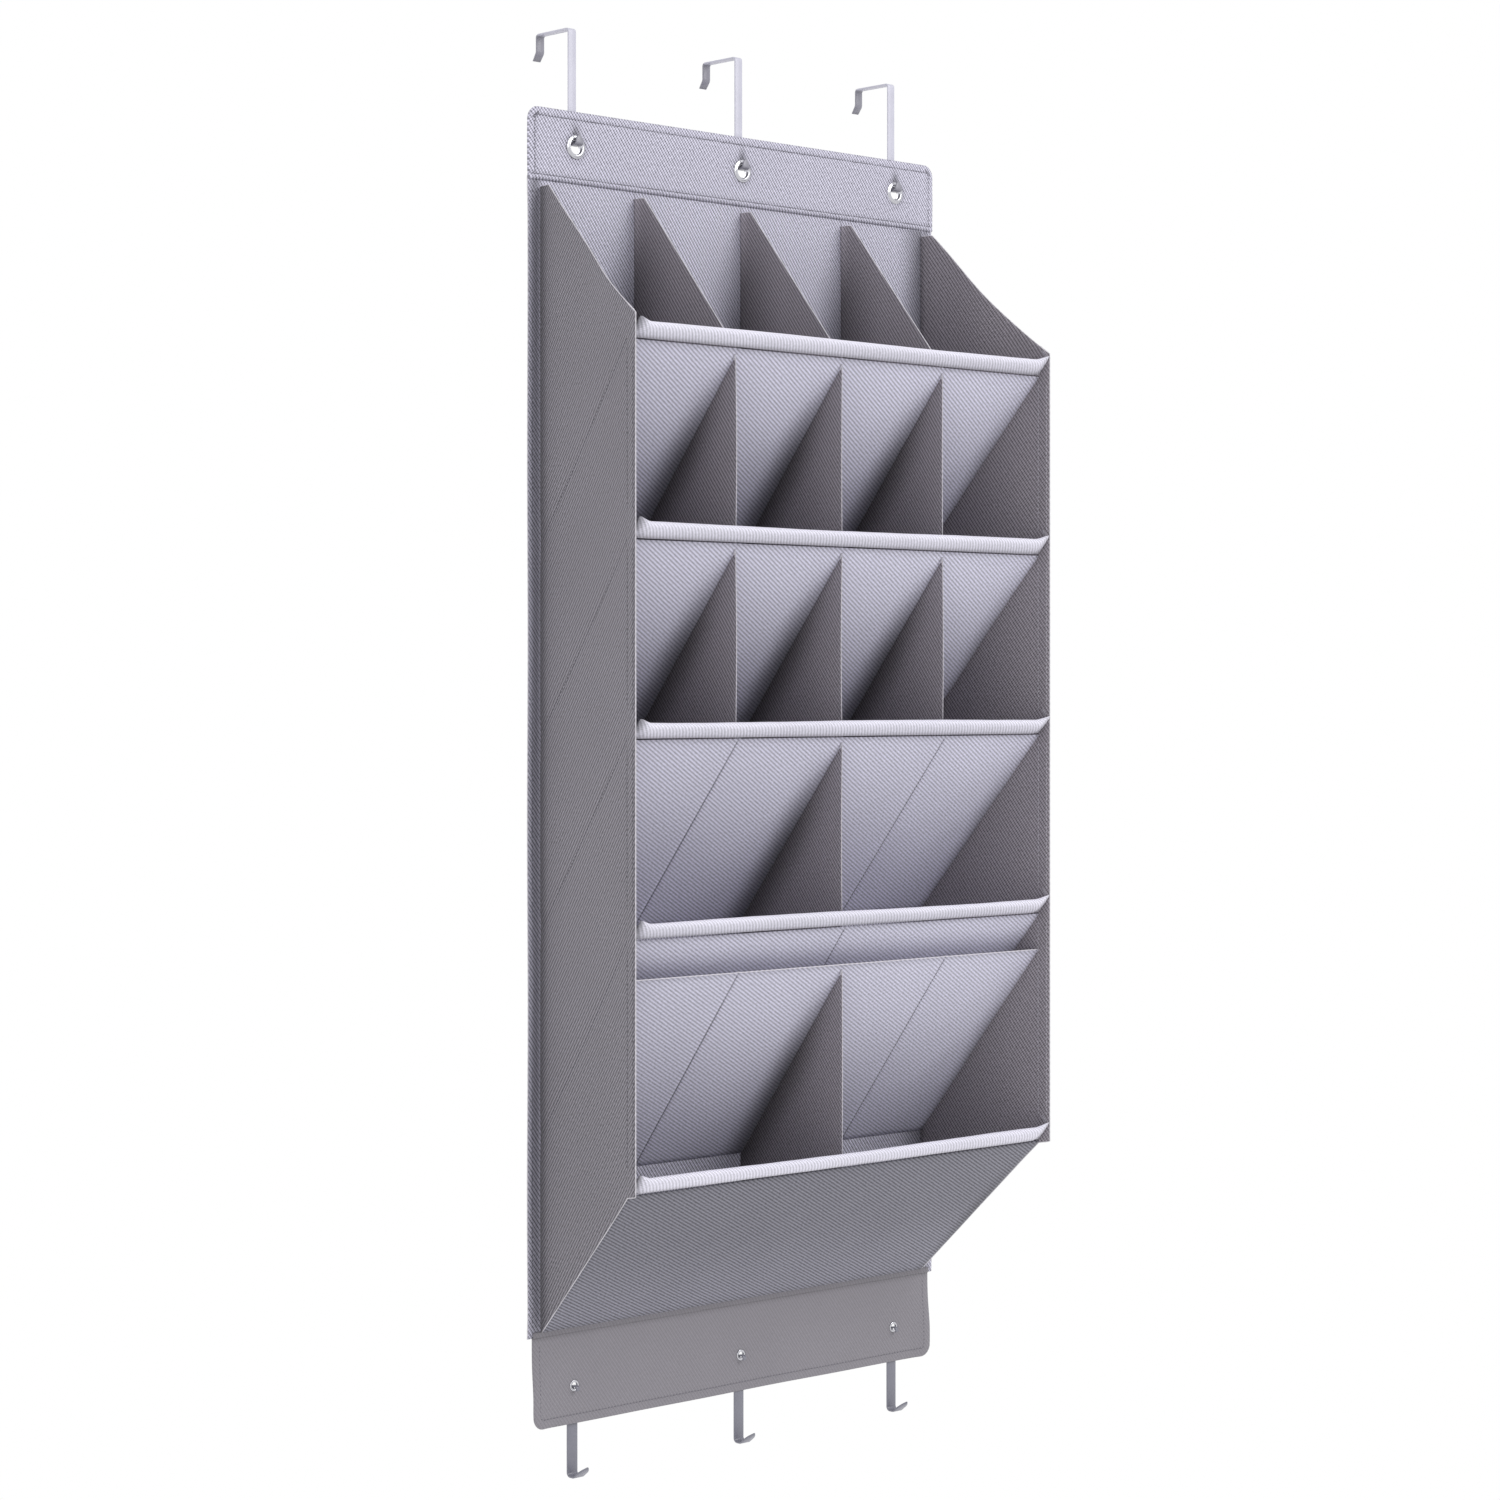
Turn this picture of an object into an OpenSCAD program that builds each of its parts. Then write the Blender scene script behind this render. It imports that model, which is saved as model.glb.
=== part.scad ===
// Hanging shoe organizer: a soft fabric rack of sloping pockets that hangs over the top of a door.
// X is its width, the front faces -Y, the door side faces +Y and +Z is up.
// The origin is on the underside of the middle hook's bridge, where it rests on the door.

/* [Body] */
// Outer width of the sides along their front edges
body_w = 560; // [540:10:640]
// Width of the back fabric, which shows as a narrow flange beside the pockets
back_w = 546; // [530:2:580]
// How much closer to the middle each side panel is at the back than at the lips
side_flare = 22; // [12:1:26]
// Depth from the back fabric to the front edges of the sides
body_depth = 160; // [140:5:200]
// Drop from the header seam to the seam of the first lip
first_drop = 159; // [140:1:180]
// Height from one lip to the next
tier_pitch = 181; // [165:1:200]
// Height of the last tier, which has the slim slot above it
last_pitch = 230; // [215:1:250]
// Drop from the last lip to the bottom seam
bottom_drop = 151; // [120:1:170]
// Drop from the fourth lip to the edge of the slot sheet
slot_drop = 36; // [28:1:44]
// Slope drop of the slot sheet from front to back
slot_fall = 194; // [180:1:200]
// Thickness of one layer of fabric
fabric_t = 1.2; // [0.8:0.1:1.6]

/* [Lips] */
// Length of a rolled lip's section, from its seam to its upper edge
lip_l = 20; // [16:1:24]
// Thickness of a rolled lip
lip_d = 8; // [7:0.5:10]
// Angle at which the lips lean forward
lip_lean = 45; // [25:1:50]

/* [Header] */
// Width of the header band
header_w = 546; // [530:2:580]
// Height of the header band
header_h = 68; // [60:1:80]
// Radius of the header's top corners
header_corner = 12; // [6:1:20]
// Thickness of one facing of the header
facing_t = 1; // [0.8:0.1:1.2]
// Thickness of the stiffening board in the header
board_t = 1.4; // [1:0.1:2]
// Drop from the header's upper edge to the centres of its grommets
grommet_drop = 33; // [28:1:38]

/* [Flap] */
// Width of the bottom flap
flap_w = 534; // [500:2:560]
// Height of the bottom flap
flap_h = 85; // [75:1:100]
// Radius of the flap's lower corners
flap_corner = 12; // [6:1:20]
// Height of the eyelets above the flap's lower edge
eyelet_up = 35; // [30:1:40]

/* [Hooks] */
// Thickness of the door that the top hooks fit
door_gap = 45; // [35:1:50]
// Height of the hooks' bridge above the header
hook_rise = 79; // [60:1:90]
// Distance between neighbouring hooks
hook_pitch = 216; // [180:2:220]
// Width of a top hook's strip
hook_w = 9.5; // [8:0.5:10]
// Thickness of a top hook's strip
hook_t = 1.6; // [1.4:0.1:1.8]
// Length of the bent-out end of the tongue
tongue_flare = 9; // [5:1:12]
// Angle of the bent-out end of the tongue
tongue_angle = 35; // [20:1:50]
// Length of the tongue behind the door
tongue_h = 16; // [12:1:24]
// Width of a bottom hook's strip
foot_w = 12.5; // [10:0.5:14]
// Thickness of a bottom hook's strip
foot_t = 1.5; // [1.2:0.1:1.6]
// Reach of a bottom hook below the flap
foot_drop = 51; // [40:1:60]
// Length of the pointed toe of a bottom hook
toe = 18; // [12:1:22]
// Angle at which the toe rises
toe_rise = 38; // [20:1:50]

/* [Hidden] */
$fn = 48;
TIERS = 5;
WIDE_TIERS = 3;         // tiers that hold four pockets; the others hold two
QUARTERS = 4;
gap = 0.3;              // air between two pieces that are sewn or lie together
film = 0.1;             // air under a flange and between the header's layers
fold_up = 1.6;          // air above a fold line
fold_down = 0.9;        // air below a fold line
corner_air = 6;         // how far the pocket pieces keep from the header's fold line
shoulder_y = 14;        // length of the level upper edge of the sides and of the first dividers
side_rise = 5;          // how far the sides' front edges rise above the first lip
lip_in = 0.5;           // how far the lips stand behind the sides' front edges
stitch_in = 8;          // how far the header's board and the lips' cores stay from their ends
board_inset = 6;        // how far the board stays from the header's upper and lower edges
flange_t = 1;           // thickness of the grommets' flanges
eyelet_t = 0.8;         // thickness of the eyelets' flanges

header_top = -hook_rise;
seam_z = header_top - header_h;
washer_air = 0.5;       // air between the hooks' straps and the washers
rear_y = -(door_gap / 2 + hook_t + washer_air + flange_t + film);
panel_y = rear_y - fabric_t;
front_y = rear_y - body_depth;
inner_y = panel_y - gap;
lip_r = lip_d / 2;
lip_axis = lip_l - lip_d;
lip_h = lip_d + lip_axis * cos(lip_lean);
seam_y = front_y + lip_in + lip_r + lip_axis * sin(lip_lean);
divider_y = seam_y + lip_r + gap;
bottom_seam = lip_z(TIERS) - bottom_drop;
flap_bottom = bottom_seam - flap_h;
side_x = body_w / 2;
rear_x = side_x - side_flare;
flare_angle = atan(side_flare / (inner_y - front_y));
side_skin = fabric_t / cos(flare_angle) + gap;
lip_x = side_x - side_skin - side_flare * (divider_y - front_y) / (inner_y - front_y);
slot_z = lip_z(TIERS - 1) - slot_drop;
sheet_rear = bottom_seam + corner_air;

// Centre of the grommets, and of the eyelets in the flap
grommet_z = header_top - grommet_drop;
grommet_hole = 6.5;
grommet_wall = 0.8;
grommet_rim = 11.3;
eyelet_z = flap_bottom + eyelet_up;
eyelet_hole = 3.2;
eyelet_wall = 0.5;
eyelet_rim = 5.5;
header_front = rear_y - 2 * facing_t - board_t - 2 * film;

// Height of a lip's seam, counted from 1 at the top
function lip_z(n) = seam_z - first_drop - (n < TIERS ? (n - 1) * tier_pitch : (n - 2) * tier_pitch + last_pitch);

// Height of a sheet at depth y, from zf at its seam with the lip to zr at the back
function slope(y, zf, zr) = zf + (zr - zf) * (y - seam_y) / (inner_y - seam_y);

// Upper face of each sheet: [front height, rear height]
function sheet(n) = n == TIERS ? [lip_z(TIERS) - gap, sheet_rear]
    : n == TIERS - 1 ? [lip_z(n) - gap, slot_z + slot_drop - slot_fall]
    : [lip_z(n) - gap, lip_z(n + 1)];
slot = [slot_z, slot_z - slot_fall];

// Upper edge of the sides and of the first dividers, before it slopes down to the first lip
shoulder = [[inner_y, seam_z - corner_air], [inner_y - shoulder_y, seam_z - corner_air]];

// Thickness of a sloping sheet, measured straight down
function drop(s) = fabric_t * sqrt(1 + pow((s[0] - s[1]) / (inner_y - seam_y), 2));

// Draws children in the Y-Z plane and gives them a width along X from x0
module across(x0, w) {
    translate([x0, 0, 0]) rotate([90, 0, 90]) linear_extrude(w) children();
}

// Draws children in the X-Z plane and gives them a thickness forward of y0
module upright(y0, t) {
    translate([0, y0, 0]) rotate([90, 0, 0]) linear_extrude(t) children();
}

// A round bar along Y, from y0 forward
module bar(x, y0, z, r, l) {
    translate([x, y0, z]) rotate([90, 0, 0]) cylinder(h = l, r = r);
}

// A quarter of a bent strip about a centre, in the quadrant given by the signs sy and sz
module bend(y, z, r, t, sy, sz) {
    translate([y, z]) intersection() {
        difference() {
            circle(r + t);
            circle(r);
        }
        translate([min(sy, 0) * (r + t), min(sz, 0) * (r + t)]) square(r + t);
    }
}

// A rectangle between two corners
module block(y0, z0, y1, z1) {
    translate([y0, z0]) square([y1 - y0, z1 - z0]);
}

// Outline of a lip or its core: an upright bar with round ends
module stadium(r, h) {
    translate([-r, -h / 2 + r]) square([2 * r, h - 2 * r]);
    for (s = [-1, 1]) translate([0, s * (h / 2 - r)]) circle(r);
}

// Outline of the header band, with its upper corners rounded and its grommet holes
module header_outline(hole) {
    r = header_corner;
    difference() {
        union() {
            block(-header_w / 2, seam_z + fold_up, header_w / 2, header_top - r);
            block(-header_w / 2 + r, header_top - r, header_w / 2 - r, header_top);
            for (s = [-1, 1]) translate([s * (header_w / 2 - r), header_top - r]) circle(r);
        }
        for (s = [-1, 0, 1]) translate([s * hook_pitch, grommet_z]) circle(hole);
    }
}

// Fabric

module header_front() {
    color("#c3c0cf") upright(header_front + facing_t, facing_t) header_outline(grommet_hole + grommet_wall + film);
}

module header_board() {
    half = header_w / 2 - stitch_in;
    color("#e8e8ea") upright(rear_y - facing_t - film, board_t) intersection() {
        header_outline(grommet_hole + grommet_wall + film);
        block(-half, seam_z + board_inset, half, header_top - board_inset);
    }
}

module header_rear() {
    color("#b4b1c0") upright(rear_y, facing_t) header_outline(grommet_hole + grommet_wall + film);
}

module back_panel() {
    color("#b0adbb") translate([-back_w / 2, panel_y, bottom_seam + fold_down])
        cube([back_w, fabric_t, seam_z - fold_down - bottom_seam - fold_down]);
}

// The left side of the body, which leans out to the front
module side_panel() {
    d = drop(sheet(TIERS));
    color("#85858c") translate([-rear_x, inner_y, 0]) rotate([0, 0, -flare_angle]) translate([0, -inner_y, 0])
        across(0, fabric_t) polygon(concat(shoulder, [
            [front_y, lip_z(1) + lip_h + side_rise],
            [front_y, lip_z(TIERS)],
            [seam_y, lip_z(TIERS) - gap - d],
            [inner_y, sheet_rear - d]
        ]));
}

// The space between the two side panels, seen from above
module between_sides() {
    polygon([
        [-rear_x + side_skin, inner_y],
        [rear_x - side_skin, inner_y],
        [side_x - side_skin, front_y],
        [-side_x + side_skin, front_y]
    ]);
}

// A sloping sheet that hangs from its front edge and is sewn to the back panel
module sloping_sheet(s) {
    d = drop(s);
    color("#b9b6c4") intersection() {
        across(-side_x, body_w) polygon([
            [seam_y, s[0]],
            [inner_y, s[1]],
            [inner_y, s[1] - d],
            [seam_y, s[0] - d]
        ]);
        translate([0, 0, flap_bottom]) linear_extrude(-flap_bottom) between_sides();
    }
}

// Draws a section with its lower end on a lip's seam, leaning forward as the lip does
module leaning(n) {
    translate([seam_y, lip_z(n) + lip_r]) rotate(lip_lean) translate([0, lip_axis / 2]) children();
}

// A rolled lip: a fabric tube with an oval section
module lip(n) {
    color("#c6c3d1") across(-lip_x, 2 * lip_x) leaning(n) difference() {
        stadium(lip_r, lip_l);
        stadium(lip_r - fabric_t, lip_l - 2 * fabric_t);
    }
}

// The strip that keeps a lip straight
module lip_core(n) {
    r = lip_r - fabric_t - gap;
    color("#f0f0f0") across(-lip_x + stitch_in, 2 * (lip_x - stitch_in)) leaning(n)
        stadium(r, lip_l - 2 * (fabric_t + gap));
}

// An upright divider between the sheet above and the sheet below a tier. q counts quarters of the width.
module divider(n, q) {
    low = sheet(n);
    high = n == TIERS ? slot : sheet(n - 1);
    top = drop(high) + gap;
    color("#6f6f76") across(-body_w / 2 + q * body_w / QUARTERS - fabric_t / 2, fabric_t) polygon(concat(
        n == 1 ? [[divider_y, lip_z(1) + gap], shoulder[1], shoulder[0]]
            : [[divider_y, slope(divider_y, high[0], high[1]) - top], [inner_y, high[1] - top]],
        [[inner_y, low[1] + gap], [divider_y, slope(divider_y, low[0], low[1]) + gap]]
    ));
}

module bottom_flap() {
    r = flap_corner;
    color("#8f8b90") upright(rear_y, fabric_t) difference() {
        union() {
            block(-flap_w / 2, flap_bottom + r, flap_w / 2, bottom_seam - fold_down);
            block(-flap_w / 2 + r, flap_bottom, flap_w / 2 - r, flap_bottom + r);
            for (s = [-1, 1]) translate([s * (flap_w / 2 - r), flap_bottom + r]) circle(r);
        }
        for (s = [-1, 0, 1]) translate([s * hook_pitch, eyelet_z]) circle(eyelet_hole + eyelet_wall + film);
    }
}

// Metal

// The front half of a grommet: a flange and the barrel that goes through the header
module grommet(x) {
    end = rear_y + flange_t / 2;
    face = header_front - film - flange_t;
    color("#c9c9cc") difference() {
        union() {
            bar(x, header_front - film, grommet_z, grommet_rim, flange_t);
            bar(x, end, grommet_z, grommet_hole + grommet_wall, end - face);
        }
        bar(x, 0, grommet_z, grommet_hole, -2 * header_front);
    }
}

// The rear half of a grommet: a washer round the end of the barrel
module washer(x) {
    color("#bdbdc0") difference() {
        bar(x, rear_y + film + flange_t, grommet_z, grommet_rim - 0.5, flange_t);
        bar(x, 0, grommet_z, grommet_hole + grommet_wall + film, -2 * header_front);
    }
}

// A small eyelet in the flap, with a flange on each face
module eyelet(x) {
    color("#c9c9cc") difference() {
        union() {
            bar(x, panel_y - film, eyelet_z, eyelet_rim, eyelet_t);
            bar(x, rear_y + film + eyelet_t, eyelet_z, eyelet_hole + eyelet_wall, fabric_t + 2 * (film + eyelet_t));
            bar(x, rear_y + film + eyelet_t, eyelet_z, eyelet_rim, eyelet_t);
        }
        bar(x, 0, eyelet_z, eyelet_hole, -2 * panel_y);
    }
}

// Over-door hook: a flat strip that goes over the door, down behind the header, and through
// its grommet, and turns up in front of it
module top_hook(x) {
    r = 2;
    rs = 1.5;
    air = 3.2;
    strap = -door_gap / 2;
    run_z = grommet_z + 2.2;
    tip_y = header_front - film - flange_t - air;
    tip_r = 3;
    tip_top = grommet_z + 10;
    color("#d3d1de") {
        across(x - hook_w / 2, hook_w) {
            bend(tip_y + rs, run_z + hook_t / 2 + rs, rs, hook_t, -1, -1);
            block(tip_y + rs, run_z - hook_t / 2, strap - hook_t - rs, run_z + hook_t / 2);
            bend(strap - hook_t - rs, run_z + hook_t / 2 + rs, rs, hook_t, 1, -1);
            block(strap - hook_t, run_z + hook_t / 2 + rs, strap, -r);
            bend(strap + r, -r, r, hook_t, -1, 1);
            block(strap + r, 0, -strap - r, hook_t);
            bend(-strap - r, -r, r, hook_t, 1, 1);
            block(-strap, -tongue_h, -strap + hook_t, -r);
            translate([-strap + hook_t, -tongue_h]) rotate(tongue_angle) block(-hook_t, -tongue_flare, 0, gap);
        }
        // The tip narrows to a round end
        upright(tip_y, hook_t) {
            polygon([
                [x - hook_w / 2, run_z + hook_t / 2 + rs],
                [x + hook_w / 2, run_z + hook_t / 2 + rs],
                [x + tip_r, tip_top],
                [x - tip_r, tip_top]
            ]);
            translate([x, tip_top]) circle(tip_r);
        }
    }
}

// Under-door hook: its narrow end goes through an eyelet, and its foot turns forward and up to a point
module bottom_hook(x) {
    r = 1.2;
    air = 3.4;
    rf = 3;
    flat = 5;
    neck = 4.2;
    shoulder = 12;
    toe_r = 1.5;
    toe_taper = 6;
    strip_y = rear_y + film + eyelet_t + gap;
    run_z = eyelet_z - 0.4;
    bend_z = run_z - foot_t / 2 - r;
    tip_y = panel_y - film - eyelet_t - air;
    tip_drop = 2.3;
    low = flap_bottom - foot_drop;
    color("#8c8c93") {
        across(x - neck / 2, neck) {
            block(tip_y - foot_t, bend_z - tip_drop, tip_y, bend_z);
            bend(tip_y + r, bend_z, r, foot_t, -1, 1);
            block(tip_y + r, run_z - foot_t / 2, strip_y - r, run_z + foot_t / 2);
            bend(strip_y - r, bend_z, r, foot_t, 1, 1);
        }
        upright(strip_y + foot_t, foot_t) polygon([
            [x - neck / 2, bend_z],
            [x + neck / 2, bend_z],
            [x + foot_w / 2, bend_z - shoulder],
            [x + foot_w / 2, low + foot_t + rf],
            [x - foot_w / 2, low + foot_t + rf],
            [x - foot_w / 2, bend_z - shoulder]
        ]);
        across(x - foot_w / 2, foot_w) {
            bend(strip_y - rf, low + foot_t + rf, rf, foot_t, 1, -1);
            block(strip_y - rf - flat, low, strip_y - rf, low + foot_t);
        }
        translate([x, strip_y - rf - flat, low]) rotate([toe_rise, 0, 180]) linear_extrude(foot_t)
            polygon([
                [-foot_w / 2, -gap],
                [foot_w / 2, -gap],
                [foot_w / 2, toe - toe_taper],
                [toe_r, toe],
                [-toe_r, toe],
                [-foot_w / 2, toe - toe_taper]
            ]);
    }
}

left = -hook_pitch;
right = hook_pitch;

header_front();
header_board();
header_rear();
grommet(left);  // grommet_left
grommet(0);  // grommet_middle
grommet(right);  // grommet_right
washer(left);  // washer_left
washer(0);  // washer_middle
washer(right);  // washer_right
top_hook(left);  // top_hook_left
top_hook(0);  // top_hook_middle
top_hook(right);  // top_hook_right
back_panel();
side_panel();  // side_panel_left
mirror([1, 0, 0]) side_panel();  // side_panel_right
sloping_sheet(sheet(1));  // pocket_sheet_1
sloping_sheet(sheet(2));  // pocket_sheet_2
sloping_sheet(sheet(3));  // pocket_sheet_3
sloping_sheet(sheet(4));  // pocket_sheet_4
sloping_sheet(slot);  // slot_sheet
sloping_sheet(sheet(TIERS));  // bottom_panel
lip(1);  // lip_1
lip(2);  // lip_2
lip(3);  // lip_3
lip(4);  // lip_4
lip(5);  // lip_5
lip_core(1);  // lip_core_1
lip_core(2);  // lip_core_2
lip_core(3);  // lip_core_3
lip_core(4);  // lip_core_4
lip_core(5);  // lip_core_5
divider(1, 1);  // divider_1_left
divider(1, 2);  // divider_1_middle
divider(1, 3);  // divider_1_right
divider(2, 1);  // divider_2_left
divider(2, 2);  // divider_2_middle
divider(2, 3);  // divider_2_right
divider(3, 1);  // divider_3_left
divider(3, 2);  // divider_3_middle
divider(3, 3);  // divider_3_right
divider(4, 2);  // divider_4_middle
divider(5, 2);  // divider_5_middle
bottom_flap();
eyelet(left);  // eyelet_left
eyelet(0);  // eyelet_middle
eyelet(right);  // eyelet_right
bottom_hook(left);  // bottom_hook_left
bottom_hook(0);  // bottom_hook_middle
bottom_hook(right);  // bottom_hook_right
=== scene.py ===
"""Looks of a hanging shoe organizer: cloth, threads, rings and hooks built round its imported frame."""

import logging
import math
from dataclasses import dataclass, field
from enum import Enum
from typing import Callable, Sequence

import bpy
import numpy as np
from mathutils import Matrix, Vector


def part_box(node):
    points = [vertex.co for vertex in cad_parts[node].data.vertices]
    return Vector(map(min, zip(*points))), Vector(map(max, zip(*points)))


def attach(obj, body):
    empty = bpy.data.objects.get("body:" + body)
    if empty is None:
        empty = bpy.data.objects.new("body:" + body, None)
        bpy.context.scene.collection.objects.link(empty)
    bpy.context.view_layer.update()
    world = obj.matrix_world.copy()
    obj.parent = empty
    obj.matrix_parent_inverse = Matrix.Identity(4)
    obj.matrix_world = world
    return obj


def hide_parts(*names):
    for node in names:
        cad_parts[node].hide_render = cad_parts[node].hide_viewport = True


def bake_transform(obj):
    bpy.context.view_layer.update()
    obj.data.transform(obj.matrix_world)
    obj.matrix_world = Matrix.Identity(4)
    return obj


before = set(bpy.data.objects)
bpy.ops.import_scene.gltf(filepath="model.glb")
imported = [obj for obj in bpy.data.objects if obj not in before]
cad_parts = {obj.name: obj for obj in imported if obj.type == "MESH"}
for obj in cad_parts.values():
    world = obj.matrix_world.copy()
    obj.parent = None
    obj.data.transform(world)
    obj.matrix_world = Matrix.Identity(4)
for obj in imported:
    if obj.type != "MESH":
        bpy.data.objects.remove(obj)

LOG = logging.getLogger("shoe_organizer")
MM = 0.001
SIDES = (-1, 1)
PLACES = ("left", "middle", "right")
QUARTERS = (-140 * MM, 0.0, 140 * MM)


# Shared shader effects


class Effect(Enum):
    """Node groups that more than one finish uses."""

    WEAVE = "weave"
    MOTTLE = "mottle"


@dataclass
class Nodes:
    """A short way to write a node tree.

    Attributes:
        tree: The tree that nodes are added to.
    """

    tree: bpy.types.NodeTree

    def add(self, kind: str, **settings: object) -> bpy.types.Node:
        """Adds a node.

        Args:
            kind: Blender's type name of the node.
            settings: Properties of the node, or values of its inputs by name.

        Returns:
            The new node.
        """
        node = self.tree.nodes.new(kind)
        for name, value in settings.items():
            if hasattr(node, name):
                setattr(node, name, value)
            else:
                node.inputs[name.replace("_", " ")].default_value = value
        return node

    def link(self, source: object, target: object) -> None:
        """Joins two sockets."""
        self.tree.links.new(source, target)

    def math(self, operation: str, *values: object, clamp: bool = False) -> object:
        """Adds a Math node.

        Args:
            operation: Name of the operation.
            values: Its inputs, each a socket or a number.
            clamp: Whether the result is held between 0 and 1.

        Returns:
            The output socket.
        """
        node = self.add("ShaderNodeMath", operation=operation, use_clamp=clamp)
        for slot, value in zip(node.inputs, values):
            if isinstance(value, (int, float)):
                slot.default_value = value
            else:
                self.link(value, slot)
        return node.outputs[0]


def effect_group(effect: Effect, inputs: Sequence[tuple], outputs: Sequence[tuple]) -> tuple:
    """Starts a node group with named sockets.

    Args:
        effect: Which effect it is.
        inputs: Name, socket type and default value of each input.
        outputs: Name and socket type of each output.

    Returns:
        The tree, a Nodes helper, its group input node and its group output node.
    """
    tree = bpy.data.node_groups.new(effect.value, "ShaderNodeTree")
    for name, kind, value in inputs:
        socket = tree.interface.new_socket(name, in_out="INPUT", socket_type=kind)
        if value is not None:
            socket.default_value = value
    for name, kind in outputs:
        tree.interface.new_socket(name, in_out="OUTPUT", socket_type=kind)
    nodes = Nodes(tree)
    return tree, nodes, nodes.add("NodeGroupInput"), nodes.add("NodeGroupOutput")


def weave_group() -> bpy.types.NodeTree:
    """Builds the twill: slanted ribs crossed by finer yarns, uneven as spun yarn is.

    Returns:
        A group that takes cloth coordinates in metres and gives a height and a shade, both 0 to 1.
    """
    tree, n, start, end = effect_group(
        Effect.WEAVE,
        [
            ("Vector", "NodeSocketVector", None),
            ("Pitch", "NodeSocketFloat", 0.003),
            ("Uneven", "NodeSocketFloat", 0.18),
        ],
        [("Height", "NodeSocketFloat"), ("Shade", "NodeSocketFloat")],
    )
    parts = n.add("ShaderNodeSeparateXYZ")
    n.link(start.outputs["Vector"], parts.inputs[0])
    across, up = parts.outputs[0], parts.outputs[1]
    turn = n.math("DIVIDE", 2 * math.pi, start.outputs["Pitch"])
    slant = n.math("MULTIPLY_ADD", across, 0.8, n.math("MULTIPLY", up, 0.6))
    rib = n.math("SINE", n.math("MULTIPLY", slant, turn))
    fine = n.math("MULTIPLY", turn, 1.55)
    crossing = n.math("MULTIPLY_ADD", across, 0.62, n.math("MULTIPLY", up, -0.78))
    yarn = n.math("SINE", n.math("MULTIPLY", crossing, fine))
    spun = n.add("ShaderNodeTexNoise", Scale=420.0, Detail=2.0)
    n.link(start.outputs["Vector"], spun.inputs["Vector"])
    share = n.math("MULTIPLY", start.outputs["Uneven"], 4.0)
    wide = n.math("MULTIPLY", n.math("SUBTRACT", spun.outputs[0], 0.5), share)
    cloth = n.math("MULTIPLY_ADD", rib, 0.62, n.math("MULTIPLY", yarn, 0.38))
    n.link(n.math("MULTIPLY_ADD", cloth, 0.5, 0.5, clamp=True), end.inputs["Height"])
    tone = n.math("MULTIPLY_ADD", cloth, 0.42, 0.5)
    n.link(n.math("ADD", tone, wide, clamp=True), end.inputs["Shade"])
    return tree


def mottle_group() -> bpy.types.NodeTree:
    """Builds the slow change of tone that handling gives a finish.

    Returns:
        A group that takes a position and gives a value round 0.5.
    """
    tree, n, start, end = effect_group(
        Effect.MOTTLE,
        [("Vector", "NodeSocketVector", None), ("Scale", "NodeSocketFloat", 9.0)],
        [("Value", "NodeSocketFloat")],
    )
    cloud = n.add("ShaderNodeTexNoise", Detail=4.0, Roughness=0.6)
    n.link(start.outputs["Vector"], cloud.inputs["Vector"])
    n.link(start.outputs["Scale"], cloud.inputs["Scale"])
    n.link(cloud.outputs[0], end.inputs["Value"])
    return tree


GROUPS: dict[Effect, bpy.types.NodeTree] = {}


def linear(tone: Sequence[int]) -> tuple[float, float, float, float]:
    """Turns a display colour of 0 to 255 into the linear one that shaders take."""
    parts = [c / 255 for c in tone]
    return (*[c / 12.92 if c <= 0.04045 else ((c + 0.055) / 1.055) ** 2.4 for c in parts], 1.0)


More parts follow.
